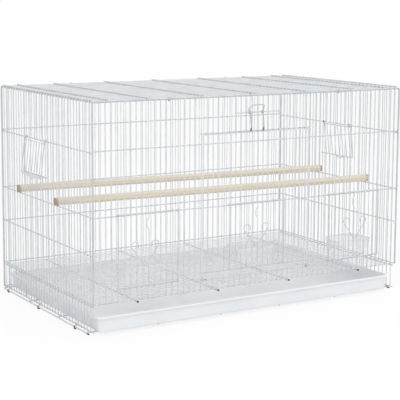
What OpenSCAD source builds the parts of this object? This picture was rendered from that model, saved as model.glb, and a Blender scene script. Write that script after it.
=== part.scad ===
// Breeding cage for canaries: welded wire panels with hinged and sliding doors,
// a wire floor grate, a slide-out plastic tray, two wooden perches and three seed cups.
// Millimetres. X runs along the front, the front faces -Y and Z is up from the table.

/* [Cage] */
// Length between the middles of the corner posts
cage_w = 762; // [740:1:785]
// Depth between the middles of the corner posts
cage_d = 457; // [440:1:480]
// Height of the panels' top wires
cage_h = 460; // [445:1:480]
// Gaps between the upright wires of the front and back panels
front_gaps = 56; // [54:2:58]
// Gaps between the upright wires of a side panel
side_gaps = 33; // [32:1:34]
// Height of the upper horizontal wires of the sides, which the nest doors hang on
upper_rail_z = 362; // [354:1:370]
// Height of the upper horizontal wires of the front, the back and the big door
long_rail_z = 365.5; // [358:0.5:373]
// Height of the middle horizontal wires, which carry the perches
middle_rail_z = 235; // [227:1:243]
// Height of the lower horizontal wires of the back and sides
lower_rail_z = 159; // [148:1:178]
// Height of the horizontal wires over the floor grate
floor_rail_z = 63; // [60:0.5:68]

/* [Wires] */
// Thickness of the upright wires and the fine roof wires
bar_d = 2; // [1.8:0.1:2.2]
// Thickness of the horizontal wires and the door frames
rail_d = 2.5; // [2.3:0.1:2.8]
// Thickness of the corner posts
post_d = 4; // [3.4:0.1:4.6]
// Thickness of the ribs across the roof
rib_d = 3.2; // [2.6:0.1:4]
// Thickness of the wires under the tray and the grate's side runners
base_d = 3; // [2.6:0.1:3.6]
// Depth of the flat that the lowest wires stand on
flat = 0.3; // [0.2:0.05:0.5]
// How far crossing wires sink into each other at a weld
weld = 0.05; // [0.03:0.01:0.08]
// How far the horizontal wires run into the corner posts
post_sink = 0.3; // [0.2:0.05:0.5]
// Distance that the upright wires stop under the tops of the highest horizontal wires
bar_stop = 0.2; // [0.1:0.05:0.4]
// Gap between a ring and the wire that it turns or slides on
running = 0.08; // [0.05:0.01:0.1]
// Gap under a piece that rests on another
seat = 0.3; // [0.2:0.05:0.4]
// Thickness of the wire that rings are bent from
ring_d = 2; // [1.6:0.1:2.2]

/* [Roof] */
// Places of the ribs out from the middle of the roof
rib_step = 128; // [110:1:140]
// Place of the outermost inner rib
last_rib_x = 345; // [325:1:360]
// Distance that the ribs stop short of the front and back
rib_stop = 6; // [3:0.5:12]
// Wire thickness of the clips that join the roof to the panels
clip_d = 1.8; // [1.4:0.1:2.2]
// Place of the clips out from the middle, in gaps of the front panel
clip_gaps = 15.5; // [13.5:1:19.5]
// Length of the small hook that hangs from the roof's front edge
hook_drop = 15; // [12:0.5:16]
// Distance that the hook reaches in over the roof
hook_in = 4; // [3:0.5:6]
// Drop of the hook's inner end
hook_tip = 3; // [2:0.5:4]
// Distance of the hook from the middle of the front
hook_x = 16; // [16:0.5:24]

/* [Front door] */
// Width of the big door in gaps
door_gaps = 20; // [18:2:22]
// Height of the wire that the big door hinges on
hinge_z = 85; // [81:0.5:87]
// Height of the big door's bottom wire
door_low_z = 99.5; // [96:0.5:103]
// Gap between the feet of the door's side wires and the hinge wire
door_foot_gap = 0.2; // [0.1:0.05:0.4]
// Height of the big door's top wire
door_top_z = 385; // [379:0.5:391]
// Space between the big door's side wires and the bars beside it
door_side_gap = 4; // [3.6:0.1:5]
// Radius of the bends of the door's wires
bend_r = 5; // [4:0.5:6]
// Rise from the door's top wire to the wire over the opening
head_rise = 2; // [1.9:0.1:7]
// Width of the bar that is bent over the door's top in gaps
bent_gaps = 3; // [2:1:4]

/* [Door latch] */
// Rise from the door's top wire to the short wire that the latch turns on
latch_rise = 41; // [33:1:48]
// Width of the latch's wire in gaps
latch_gaps = 8; // [6:2:10]
// Distance of the latch's legs from its own middle
latch_leg_x = 15.6; // [15.3:0.1:15.8]
// Distance of the latch's middle to the left of the door's middle
latch_left = 4.4; // [4.2:0.1:4.6]
// Distance that the handle stands out from its hinge wire
handle_out = 11; // [9:0.5:14]
// Height of the handle over its hinge wire
handle_rise = 16; // [12:0.5:16]
// Sideways bulge of the handle
handle_bulge = 9; // [3:0.5:10]
// Distance that the handle's other corner is drawn in
handle_draw = 3; // [0:0.5:5]
// Distance that the legs stand out at their middle
leg_out = 3; // [2:0.5:5]
// Height of the legs' bend over their tips
leg_bend = 8; // [5:0.5:12]
// Distance that the legs' tips stand out
tip_out = 1; // [0.5:0.1:2]
// Space between the legs and the door's top wire
leg_gap = 0.4; // [0.3:0.05:0.8]

/* [Feeder doors] */
// Width of a feeder door in gaps
feeder_gaps = 10; // [8:2:10]
// Distance of the outer feeder doors from the middle in gaps
feeder_offset = 19; // [18:1:19]
// Height of the sill wire of the outer feeder doors
sill_z = 89; // [83:0.5:95]
// Length of the finger bow in a feeder door's middle wire
bow_h = 24; // [18:0.5:30]
// Sideways reach of the finger bow
bow_out = 4.5; // [3:0.5:6]
// Distance of the bow under the door's top
bow_drop = 10; // [6:0.5:20]

/* [Nest doors] */
// Width of a nest opening in gaps
nest_gaps = 8; // [6:1:8]
// First bar of the left nest opening, counted from the front
left_nest_bar = 16; // [12:1:18]
// First bar of the right nest opening, counted from the front
right_nest_bar = 12; // [10:1:16]
// Distance of the nest door's sides from the bars beside them
nest_side_gap = 3.6; // [3:0.1:5]
// Length of a nest door
nest_door_h = 79; // [70:0.5:86]
// Drop from a nest opening's hinge wire to its sill wire
nest_opening_h = 76; // [64:0.5:76]
// Lean of a nest door out from the panel in degrees
nest_lean = 6.2; // [4:0.2:9]
// Width of the shallow V that is bent into a nest door's bottom wire as its catch
catch_w = 34; // [26:1:42]
// Height of the catch
catch_h = 6; // [3:0.5:8]
// Drop from the hinge wire to a nest door's upper cross wire
nest_cross_drop = 5; // [4.9:0.1:14]

/* [Floor] */
// Thickness of the grate's rods
rod_d = 4; // [3:0.1:4]
// Place of the grate's outer rods
outer_rod_x = 280; // [250:1:310]
// Place of the grate's inner rods
inner_rod_x = 90; // [70:1:120]
// Distance of the rods' ends from the front and back bars
rod_stop = 4.5; // [4:0.5:8]
// Space between the grate's wires and the posts beside them
grate_side_gap = 0.4; // [0.3:0.05:0.8]
// Gap between the tray's rim and the left panel's horizontal wires
tray_side_gap = 3.6; // [2:0.1:8]
// Side play of the tray, which is all at its right
tray_play = 12; // [0:0.5:16]
// Distance that the tray's rim stands out in front
tray_out = 6.5; // [4:0.5:10]
// Distance of the tray's rim from the back bars
tray_back_gap = 8; // [5:0.5:12]
// Height of the tray's rim over the table
tray_top_z = 39; // [35:0.5:47]
// Width of the tray's rim
rim_w = 4.5; // [4:0.5:9]
// Depth of the rim's turned-down edge
rim_skirt = 4.5; // [4:0.5:9]
// Inward slope of the tray's walls from top to bottom
tray_slope = 4; // [2:0.5:10]
// Thickness of the tray
tray_wall = 2; // [1.6:0.1:2.6]
// Radius of the tray's corners
tray_corner_r = 14; // [10:0.5:24]
// Drop from the lower horizontal wires' undersides to the top of the floor grate
grate_drop = 0.8; // [0.4:0.1:2]

/* [Perches] */
// Thickness of a perch
perch_d = 16; // [13:0.5:17]
// Distance that a perch stands out of the side panels
perch_out = 4.5; // [3:0.5:8]
// Width of the slit in a perch's ends
slit_w = 3.4; // [3:0.1:4]
// Depth of the slit past the side panel's bar
slit_depth = 6; // [4:0.5:12]
// Bar that the rear perch meets on the left, counted from the front
rear_perch_left = 26; // [24:1:28]
// Bar that the rear perch meets on the right
rear_perch_right = 21; // [19:1:23]
// Bar that the front perch meets on the left
front_perch_left = 12; // [11:1:14]
// Bar that the front perch meets on the right
front_perch_right = 8; // [7:1:10]

/* [Seed cups] */
// Width of a cup
cup_w = 92; // [86:1:104]
// Depth of a cup from front to back
cup_d = 68; // [60:1:80]
// Height of a cup
cup_h = 38.5; // [32:0.5:46]
// Radius of a cup's rear corners
cup_r = 34; // [28:1:40]
// Thickness of a cup's walls
cup_wall = 2; // [1.4:0.1:2.4]
// Distance of a cup's front from the middle of the feeder bars
cup_front = 1.3; // [1.1:0.05:1.6]
// Distance of the side cups outward from the middle of their feeder doors
cup_aside = 6; // [0:0.5:8]
// Width between the hanger's loops
loop_spread = 46; // [42:0.5:52]
// Radius of the hanger's loops
loop_r = 8; // [6:0.5:9]
// Height of the middle of the loops over the cup's rim
loop_rise = 42.5; // [34:0.5:50]

/* [Feet] */
// Reach of a foot's curl outward from the panel's bars
foot_out = 9; // [7:0.5:10]
// Height of a foot's upper end
foot_h = 14; // [12:0.5:18]
// Height of the curl
curl_h = 8; // [7:0.5:9]

/* [Base] */
// Distance of the first long base wire from the front bars
base_first = 23.5; // [15:0.5:40]
// Distance of the second long base wire from the front bars
base_second = 160.5; // [140:0.5:180]
// Distance of the third long base wire from the back bars
base_third = 147.5; // [130:0.5:170]
// Distance of the last long base wire from the back bars
base_last = 7.5; // [6:0.5:20]
// Space between the skids under the tray
skid_step = 150; // [120:1:160]
// Distance of the skids' ends from the front bars
skid_front = 18; // [10:0.5:21]
// Distance of the skids' ends from the back bars
skid_back = 5; // [3:0.5:6]

/* [Wound sleeves] */
// Outer thickness of the wire wound round two of the left panel's bars
sleeve_d = 4.4; // [3.8:0.1:5]
// Length of the winding
sleeve_h = 12; // [8:0.5:14]
// Height of the rear winding's lower end
rear_sleeve_z = 10; // [9:0.5:20]
// Height of the front winding's lower end
front_sleeve_z = 21; // [10:0.5:30]

/* [Hidden] */

wire_fn = 24;
bend_sides = 12;
round_fn = 64;
cut = 1;
sheet = 0.1;
coat = "gainsboro";
plastic = "whitesmoke";
timber = "burlywood";

half_w = cage_w / 2;
front_pitch = cage_w / front_gaps;
side_pitch = cage_d / side_gaps;

// Crossing wires lie side by side, sunk by the weld
rail_in = (bar_d + rail_d) / 2 - weld;
ring_r = rail_d / 2 + running + ring_d / 2;
beside = rail_d + running;
bar_ring_r = bar_d / 2 + running + ring_d / 2;

// The roof clips go round the front or back top wire and the roof's edge wire
roof_wire_z = cage_h + (rail_d + bar_d) / 2 - weld;
clip_spread = norm([rail_in, roof_wire_z - cage_h]) / 2;
clip_r = clip_spread + rail_d / 2 - weld + clip_d / 2;

// The origin is under the middle of the whole object, latch handle and clips included
front_reach = rail_in + handle_out + rail_d / 2;
back_reach = clip_r + clip_d / 2 - rail_in / 2;
front_y = -cage_d / 2 + (front_reach - back_reach) / 2;
back_y = front_y + cage_d;

skid_z = base_d / 2 - flat;
long_wire_z = skid_z + base_d - weld;
panel_foot_z = long_wire_z + (base_d + rail_d) / 2 - weld;
tray_z = long_wire_z + base_d / 2 + seat;
bar_top_z = cage_h + rail_d / 2 - bar_stop;
bar_low_z = panel_foot_z - rail_d / 2;
rail_end = half_w - post_d / 2 + post_sink;
side_rail_stop = rail_in + rail_d / 2 - weld;

outer_y = front_y - rail_in;
door_half_w = door_gaps / 2 * front_pitch - door_side_gap;
head_z = door_top_z + head_rise;
latch_z = door_top_z + latch_rise;
leg_tip_z = door_top_z + rail_d / 2 + leg_gap + rail_d / 2;
ring_lift = (rail_d + ring_d) / 2 + seat;
feeder_y = -(bar_d / 2 + seat + rail_d / 2);

grate_wire_r = bar_d / 2;
grate_half_w = half_w - post_d / 2 - grate_side_gap;
grate_top_z = floor_rail_z - rail_d / 2 - grate_drop;
grate_wire_z = grate_top_z - grate_wire_r;
grate_rod_z = grate_wire_z - (bar_d + rod_d) / 2 + weld;
runner_z = grate_wire_z - grate_wire_r - seat - base_d / 2;
runner_x = half_w - (bar_d + base_d) / 2 + weld;

tray_w = 2 * (half_w - side_rail_stop - tray_side_gap) - tray_play;
tray_d = cage_d + tray_out - tray_back_gap;
overhang = rim_w - tray_wall;

perch_z = middle_rail_z + rail_d / 2 + seat + perch_d / 2;

function bar_x(i) = (i - front_gaps / 2) * front_pitch;
function bar_y(i) = front_y + i * side_pitch;
function unit(v) = v / norm(v);
function swap_side(points) = [for (p = points) [-p.x, p.y, p.z]];
function reversed(points) = [for (i = [len(points) - 1 : -1 : 0]) points[i]];

// Points round a bend of radius r at q, on the way from p to s
function bend(p, q, s, r, steps) =
  let (a = unit(p - q), b = unit(s - q), half = acos(a * b) / 2)
  let (mid = unit(a + b), across = unit(b - a))
  [for (i = [0 : steps])
    let (turn = (90 - half) * (2 * i / steps - 1))
    q + mid * r / sin(half) + r * (across * sin(turn) - mid * cos(turn))];

function rounded(points, r, steps = 3) = [
  points[0],
  for (i = [1 : len(points) - 2]) each bend(points[i - 1], points[i], points[i + 1], r, steps),
  points[len(points) - 1],
];

// Points on a circle in the XZ plane
function arc(centre, r, from, to, steps) =
  [for (i = [0 : steps])
    let (turn = from + (to - from) * i / steps)
    centre + r * [cos(turn), 0, sin(turn)]];

function slid(ring, along, at, normal) =
  [for (p = ring) p + along * ((at - p) * normal) / (along * normal)];

function swept(points, ring, i = 0) =
  i == len(points) - 1
    ? [ring]
    : let (along = unit(points[i + 1] - points[i]))
      let (next = i + 2 < len(points) ? unit(points[i + 2] - points[i + 1]) : along)
      [ring, each swept(points, slid(ring, along, points[i + 1], unit(along + next)), i + 1)];

module straight(a, b, d) {
  run = b - a;
  translate(a)
    rotate([0, acos(run.z / norm(run)), atan2(run.y, run.x)])
      cylinder(d = d, h = norm(run), $fn = wire_fn);
}

// A bent wire: a ring of points is slid along each length to the plane that halves the next bend
module wire(points, d) {
  start = unit(points[1] - points[0]);
  side = unit(cross(start, abs(start.z) < 0.9 ? [0, 0, 1] : [1, 0, 0]));
  up = cross(side, start);
  first = [for (i = [0 : bend_sides - 1])
    let (turn = 360 * i / bend_sides)
    points[0] + d / 2 * (cos(turn) * side + sin(turn) * up)];
  rings = swept(points, first);
  last = (len(points) - 1) * bend_sides;
  walls = [for (i = [0 : len(points) - 2], j = [0 : bend_sides - 1])
    let (a = i * bend_sides + j, b = i * bend_sides + (j + 1) % bend_sides)
    [a, b, b + bend_sides, a + bend_sides]];
  polyhedron(
    points = [for (r = rings) each r],
    faces = [
      each walls,
      [for (j = [bend_sides - 1 : -1 : 0]) j],
      [for (j = [0 : bend_sides - 1]) last + j],
    ]
  );
}

module ring(r, d) {
  rotate_extrude($fn = round_fn)
    translate([r, 0])
      circle(d = d, $fn = wire_fn);
}

module upright(x, y, low, high, d = bar_d) {
  translate([x, y, low])
    cylinder(d = d, h = high - low, $fn = wire_fn);
}

module along_x(from, to, y, z, d = rail_d) {
  straight([from, y, z], [to, y, z], d);
}

module along_y(x, from, to, z, d = rail_d) {
  straight([x, from, z], [x, to, z], d);
}

module both_sides() {
  children();
  mirror([1, 0, 0])
    children();
}

module plate_outline(w, d, r) {
  square([w - 2 * r, d], center = true);
  square([w, d - 2 * r], center = true);
  for (x = [-1, 1], y = [-1, 1])
    translate([x * (w / 2 - r), y * (d / 2 - r)])
      circle(r = r, $fn = round_fn);
}

// ---- Panels ----

function in_door(i) = abs(i - front_gaps / 2) < door_gaps / 2;
function in_feeder(i) = abs(abs(i - front_gaps / 2) - feeder_offset) < feeder_gaps / 2;

module front_upright_wires() {
  low = floor_rail_z - rail_d / 2;
  color(coat)
    for (i = [1 : front_gaps - 1]) {
      stub_top = in_door(i) ? hinge_z : sill_z;
      opening_top = in_door(i) ? head_z - bar_stop : middle_rail_z - rail_d / 2;
      if (in_door(i) || in_feeder(i)) {
        upright(bar_x(i), front_y, low, stub_top + rail_d / 2);
        upright(bar_x(i), front_y, opening_top, bar_top_z);
      } else {
        upright(bar_x(i), front_y, low, bar_top_z);
      }
    }
}

module front_cross_wires() {
  y = front_y + rail_in;
  door_x = door_gaps / 2 * front_pitch + bar_d / 2;
  feeder_x = feeder_offset * front_pitch;
  sill_half = feeder_gaps / 2 * front_pitch + bar_d / 2;
  color(coat) {
    for (z = [cage_h, floor_rail_z])
      along_x(-rail_end, rail_end, y, z);
    for (z = [long_rail_z, middle_rail_z])
      both_sides()
        along_x(door_x - bar_d, rail_end, y, z);
    along_x(-door_x, door_x, y, head_z);
    both_sides()
      along_x(feeder_x - sill_half, feeder_x + sill_half, y, sill_z);
  }
}

module back_upright_wires() {
  color(coat)
    for (i = [1 : front_gaps - 1])
      upright(bar_x(i), back_y, bar_low_z, bar_top_z);
}

module back_cross_wires() {
  color(coat)
    for (z = [cage_h, long_rail_z, middle_rail_z, lower_rail_z, floor_rail_z, panel_foot_z])
      along_x(-rail_end, rail_end, back_y - rail_in, z);
}

module side_upright_wires(x, nest_bar) {
  color(coat)
    for (i = [1 : side_gaps - 1])
      if (i > nest_bar && i < nest_bar + nest_gaps) {
        upright(x, bar_y(i), bar_low_z, upper_rail_z - nest_opening_h + rail_d / 2);
        upright(x, bar_y(i), upper_rail_z - rail_d / 2, bar_top_z);
      } else {
        upright(x, bar_y(i), bar_low_z, bar_top_z);
      }
}

module side_cross_wires(x, nest_bar) {
  color(coat) {
    for (z = [cage_h, upper_rail_z, middle_rail_z, lower_rail_z, floor_rail_z, panel_foot_z])
      along_y(x, front_y + side_rail_stop, back_y - side_rail_stop, z);
    along_y(x, bar_y(nest_bar) - bar_d / 2, bar_y(nest_bar + nest_gaps) + bar_d / 2,
      upper_rail_z - nest_opening_h);
  }
}

module left_upright_wires() side_upright_wires(-half_w, left_nest_bar);
module left_cross_wires() side_cross_wires(rail_in - half_w, left_nest_bar);
module right_upright_wires() side_upright_wires(half_w, right_nest_bar);
module right_cross_wires() side_cross_wires(half_w - rail_in, right_nest_bar);

module corner_posts() {
  color(coat)
    both_sides() {
      upright(half_w, front_y, floor_rail_z - rail_d / 2, bar_top_z, post_d);
      upright(half_w, back_y, bar_low_z, bar_top_z, post_d);
    }
}

// ---- Roof ----

module roof_wires() {
  color(coat)
    for (i = [0 : side_gaps])
      along_x(-half_w, half_w, bar_y(i), roof_wire_z, bar_d);
}

module roof_ribs() {
  z = roof_wire_z + (bar_d + rib_d) / 2 - weld;
  edge_x = half_w - rib_d / 2;
  color(coat)
    for (x = [-edge_x, -last_rib_x, -2 * rib_step, -rib_step, 0, rib_step, 2 * rib_step, last_rib_x, edge_x])
      along_y(x, front_y + rib_stop, back_y - rib_stop, z, rib_d);
}

module roof_clips() {
  clip_x = bar_x(front_gaps / 2 + clip_gaps);
  color(coat)
    both_sides()
      for (y = [front_y + rail_in / 2, back_y - rail_in / 2])
        translate([clip_x, y, (cage_h + roof_wire_z) / 2])
          rotate([0, 90, 0])
            ring(clip_r, clip_d);
}

module roof_hook() {
  y = front_y - bar_d - seat;
  z = roof_wire_z + bar_d - weld;
  color(coat)
    wire(rounded([
      [-hook_x, y, z - hook_drop],
      [-hook_x, y, z],
      [-hook_x, front_y + hook_in, z],
      [-hook_x, front_y + hook_in + hook_tip / 2, z - hook_tip],
    ], 1), bar_d);
}

// ---- Base ----

module base_long_wires() {
  y_places = [front_y + base_first, front_y + base_second, back_y - base_third, back_y - base_last];
  color(coat)
    for (y = y_places)
      along_x(-half_w - base_d, half_w + base_d, y, long_wire_z, base_d);
}

module base_skids() {
  x_places = [skid_step / 2, skid_step * 3 / 2, half_w + base_d / 2];
  color(coat)
    both_sides()
      for (x = x_places)
        difference() {
          along_y(x, front_y + skid_front, back_y - skid_back, skid_z, base_d);
          translate([x - base_d, front_y, -base_d])
            cube([2 * base_d, cage_d, base_d]);
        }
}

foot_bars = [5, 18, 30];

module feet() {
  x = half_w + rail_in;
  far = half_w + foot_out;
  foot_z = rail_d / 2;
  color(coat)
    both_sides()
      for (i = foot_bars)
        wire(rounded([
          [x, bar_y(i), foot_h],
          [x, bar_y(i), curl_h],
          [far, bar_y(i), curl_h],
          [far, bar_y(i), foot_z],
          [half_w + base_d + rail_d, bar_y(i), foot_z],
        ], 2), rail_d);
}

rear_sleeve_bar = 24;
front_sleeve_bar = 1;

// Wire wound closely round a bar, as a tube
module sleeve(bar, low) {
  translate([-half_w, bar_y(bar), low])
    difference() {
      cylinder(d = sleeve_d, h = sleeve_h, $fn = wire_fn);
      translate([0, 0, -cut])
        cylinder(d = bar_d + 2 * running, h = sleeve_h + 2 * cut, $fn = wire_fn);
    }
}

module side_sleeves() {
  color(coat) {
    sleeve(rear_sleeve_bar, rear_sleeve_z);
    sleeve(front_sleeve_bar, front_sleeve_z);
  }
}

module grate_runners() {
  color(coat)
    both_sides()
      along_y(runner_x, front_y + side_rail_stop, back_y - side_rail_stop, runner_z, base_d);
}

// ---- Front door ----

module door_hinge_wire() {
  reach = door_gaps / 2 * front_pitch + bar_d / 2;
  color(coat)
    along_x(-reach, reach, outer_y, hinge_z);
}

module latch_hinge_wire() {
  reach = latch_gaps / 2 * front_pitch + bar_d / 2;
  color(coat)
    along_x(-reach, reach, outer_y, latch_z);
}

module front_door_frame() {
  foot_z = hinge_z + rail_d / 2 + door_foot_gap;
  color(coat) {
    wire(rounded([
      [-door_half_w, front_y, foot_z],
      [-door_half_w, front_y, door_top_z],
      [door_half_w, front_y, door_top_z],
      [door_half_w, front_y, foot_z],
    ], bend_r), rail_d);
    for (x = [-door_half_w, door_half_w])
      translate([x, outer_y, hinge_z])
        rotate([0, 90, 0])
          ring(ring_r, ring_d);
  }
}

module front_door_cross_wires() {
  reach = door_half_w - rail_d / 2 + weld;
  color(coat)
    for (z = [door_low_z, middle_rail_z, long_rail_z])
      along_x(-reach, reach, front_y, z);
}

module front_door_upright_wires() {
  reach = door_gaps / 2 - 1;
  color(coat)
    for (i = [-reach : reach])
      if (i != -reach && i != bent_gaps - reach)
        upright(i * front_pitch, outer_y,
          (abs(i) < feeder_gaps / 2 ? middle_rail_z : door_low_z) - rail_d / 2,
          door_top_z + rail_d / 2);
}

module front_door_bent_bar() {
  left = -(door_gaps / 2 - 1) * front_pitch;
  right = left + bent_gaps * front_pitch;
  top = door_top_z + (rail_d + bar_d) / 2 + weld;
  low = door_low_z - rail_d / 2;
  color(coat)
    wire(rounded([
      [left, outer_y, low],
      [left, outer_y, top],
      [right, outer_y, top],
      [right, outer_y, low],
    ], bend_r), bar_d);
}

module door_latch() {
  y = outer_y - beside;
  out_y = outer_y - handle_out;
  color(coat)
    translate([-latch_left, 0, 0]) {
      wire([
        [latch_leg_x, y - tip_out, leg_tip_z],
        [latch_leg_x, y - leg_out, leg_tip_z + leg_bend],
        [latch_leg_x, y, latch_z],
        [latch_leg_x, (y + out_y) / 2, latch_z + handle_rise / 2],
        [latch_leg_x - handle_draw, out_y, latch_z + handle_rise],
        [-latch_leg_x, out_y, latch_z + handle_rise],
        [-latch_leg_x - handle_bulge, (y + out_y) / 2, latch_z + handle_rise / 2],
        [-latch_leg_x, y, latch_z],
        [-latch_leg_x, y - leg_out, leg_tip_z + leg_bend],
        [-latch_leg_x, y - tip_out, leg_tip_z],
      ], rail_d);
      for (x = [-latch_leg_x, latch_leg_x])
        translate([x, outer_y, latch_z])
          rotate([0, 90, 0])
            ring(ring_r, ring_d);
    }
}

// ---- Feeder doors ----

// A grille whose corner rings slide on the bars at both sides, in the plane y
module feeder_door(mid_x, y, low_rail_z) {
  half = feeder_gaps / 2;
  low = low_rail_z + ring_lift;
  high = middle_rail_z + ring_lift;
  bow_top = high - bow_drop;
  bow_low = bow_top - bow_h;
  color(coat)
    translate([mid_x, y, 0]) {
      for (z = [low, high])
        along_x(-half * front_pitch - bar_d / 2, half * front_pitch + bar_d / 2, feeder_y, z);
      for (x = [-half * front_pitch, half * front_pitch]) {
        upright(x, feeder_y, low, high);
        for (z = [low, high])
          translate([x, 0, z])
            ring(bar_ring_r, ring_d);
      }
      for (i = [1 - half : half - 1])
        if (i != 0)
          upright(i * front_pitch, feeder_y, low, high);
      wire([
        [0, feeder_y, low],
        [0, feeder_y, bow_low],
        [-bow_out, feeder_y, bow_low + bow_h / 4],
        [-bow_out, feeder_y, bow_top - bow_h / 4],
        [0, feeder_y, bow_top],
        [0, feeder_y, high],
      ], bar_d);
    }
}

module left_feeder_door() feeder_door(-feeder_offset * front_pitch, front_y, sill_z);
module centre_feeder_door() feeder_door(0, outer_y, door_low_z);
module right_feeder_door() feeder_door(feeder_offset * front_pitch, front_y, sill_z);

// ---- Nest doors ----

function catch_dip(off) = catch_h * max(0, 1 - abs(off) / (catch_w / 2));

// A flap that hangs by two rings from a wire at the origin, leaning out to +X
module nest_door(nest_bar) {
  near = bar_y(nest_bar) + nest_side_gap;
  far = bar_y(nest_bar + nest_gaps) - nest_side_gap;
  middle = (near + far) / 2;
  color(coat)
    rotate([0, -nest_lean, 0]) {
      wire([
        [beside, near, 0],
        [beside, near, -nest_door_h],
        [beside, middle - catch_w / 2, -nest_door_h],
        [beside, middle, -nest_door_h - catch_h],
        [beside, middle + catch_w / 2, -nest_door_h],
        [beside, far, -nest_door_h],
        [beside, far, 0],
      ], rail_d);
      along_y(beside, near, far, -nest_cross_drop, bar_d);
      for (y = [near, far])
        translate([0, y, 0])
          rotate([90, 0, 0])
            ring(ring_r, ring_d);
      for (i = [nest_bar + 1 : nest_bar + nest_gaps - 1])
        upright(beside, bar_y(i), -nest_door_h - catch_dip(bar_y(i) - middle), -nest_cross_drop);
    }
}

module left_nest_door() {
  mirror([1, 0, 0])
    translate([half_w - rail_in, 0, upper_rail_z])
      nest_door(left_nest_bar);
}

module right_nest_door() {
  translate([half_w - rail_in, 0, upper_rail_z])
    nest_door(right_nest_bar);
}

// ---- Floor ----

module grate_rods() {
  color(coat)
    both_sides()
      for (x = [inner_rod_x, outer_rod_x])
        along_y(x, front_y + rod_stop, back_y - rod_stop, grate_rod_z, rod_d);
}

module grate_wires() {
  color(coat)
    for (i = [1 : side_gaps - 1])
      along_x(-grate_half_w, grate_half_w, bar_y(i), grate_wire_z, bar_d);
}

// A tray's body with sloping walls, as a solid to cut or to keep
module tray_block(top_w, top_d, low, high, slope, r) {
  hull() {
    for (x = [-1, 1], y = [-1, 1])
      translate([x * (top_w / 2 - r), y * (top_d / 2 - r), high - sheet])
        cylinder(r = r, h = sheet, $fn = wire_fn);
    for (x = [-1, 1], y = [-1, 1])
      translate([x * (top_w / 2 - slope - r), y * (top_d / 2 - slope - r), low])
        cylinder(r = r, h = sheet, $fn = wire_fn);
  }
}

module tray() {
  body_w = tray_w - 2 * overhang;
  body_d = tray_d - 2 * overhang;
  inner_r = tray_corner_r - tray_wall;
  color(plastic)
    translate([-tray_play / 2, front_y - tray_out + tray_d / 2, 0])
      difference() {
        union() {
          tray_block(body_w, body_d, tray_z, tray_top_z, tray_slope, tray_corner_r);
          translate([0, 0, tray_top_z - rim_skirt])
            linear_extrude(rim_skirt)
              plate_outline(tray_w, tray_d, tray_corner_r);
        }
        tray_block(body_w - 2 * tray_wall, body_d - 2 * tray_wall, tray_z + tray_wall,
          tray_top_z + cut, tray_slope, inner_r);
        translate([0, 0, tray_top_z - rim_skirt - cut])
          linear_extrude(rim_skirt + cut - tray_wall)
            difference() {
              plate_outline(tray_w - 2 * tray_wall, tray_d - 2 * tray_wall, inner_r);
              plate_outline(body_w, body_d, tray_corner_r);
            }
      }
}

// ---- Perches ----

module perch(left_bar, right_bar) {
  skew = atan2(bar_y(right_bar) - bar_y(left_bar), cage_w);
  half_length = half_w / cos(skew) + perch_out;
  slit = perch_out + slit_depth;
  color(timber)
    translate([0, (bar_y(left_bar) + bar_y(right_bar)) / 2, perch_z])
      rotate([0, 0, skew])
        difference() {
          rotate([0, 90, 0])
            cylinder(d = perch_d, h = 2 * half_length, center = true, $fn = round_fn);
          both_sides()
            translate([half_length - slit, -slit_w / 2, -perch_d])
              cube([slit + cut, slit_w, 2 * perch_d]);
        }
}

module rear_perch() perch(rear_perch_left, rear_perch_right);
module front_perch() perch(front_perch_left, front_perch_right);

// ---- Seed cups ----

module cup_outline(w, d, r) {
  translate([-w / 2, 0])
    square([w, d - r]);
  translate([r - w / 2, 0])
    square([w - 2 * r, d]);
  for (x = [-1, 1])
    translate([x * (w / 2 - r), d - r])
      circle(r = r, $fn = round_fn);
}

// A cup that stands on the wire low_rail_z behind the feeder bars in the plane y
module seed_cup(mid_x, y, low_rail_z) {
  inner_w = cup_w - 2 * cup_wall;
  color(plastic)
    translate([mid_x, y + cup_front, low_rail_z + rail_d / 2 + seat])
      difference() {
        linear_extrude(cup_h)
          cup_outline(cup_w, cup_d, cup_r);
        translate([0, cup_wall, cup_wall])
          linear_extrude(cup_h)
            cup_outline(inner_w, cup_d - 2 * cup_wall, cup_r - cup_wall);
      }
}

module cup_hanger(mid_x, y, low_rail_z) {
  rim_z = low_rail_z + rail_d / 2 + seat + cup_h;
  loop = arc([loop_spread / 2, 0, loop_rise], loop_r, -20, 200, 6);
  points = [each reversed(swap_side(loop)), [0, 0, bar_d / 2 - weld], each loop];
  color(coat)
    translate([mid_x, y + cup_front + cup_wall / 2, rim_z])
      wire(points, bar_d);
}

module left_seed_cup() seed_cup(-feeder_offset * front_pitch - cup_aside, front_y, sill_z);
module centre_seed_cup() seed_cup(0, outer_y, door_low_z);
module right_seed_cup() seed_cup(feeder_offset * front_pitch + cup_aside, front_y, sill_z);
module left_cup_hanger() cup_hanger(-feeder_offset * front_pitch - cup_aside, front_y, sill_z);
module centre_cup_hanger() cup_hanger(0, outer_y, door_low_z);
module right_cup_hanger() cup_hanger(feeder_offset * front_pitch + cup_aside, front_y, sill_z);

front_upright_wires();
front_cross_wires();
back_upright_wires();
back_cross_wires();
left_upright_wires();
left_cross_wires();
right_upright_wires();
right_cross_wires();
corner_posts();
roof_wires();
roof_ribs();
roof_clips();
roof_hook();
base_long_wires();
base_skids();
feet();
side_sleeves();
grate_runners();
door_hinge_wire();
latch_hinge_wire();
front_door_frame();
front_door_cross_wires();
front_door_upright_wires();
front_door_bent_bar();
door_latch();
left_feeder_door();
centre_feeder_door();
right_feeder_door();
left_nest_door();
right_nest_door();
grate_rods();
grate_wires();
tray();
rear_perch();
front_perch();
left_seed_cup();
centre_seed_cup();
right_seed_cup();
left_cup_hanger();
centre_cup_hanger();
right_cup_hanger();
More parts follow.
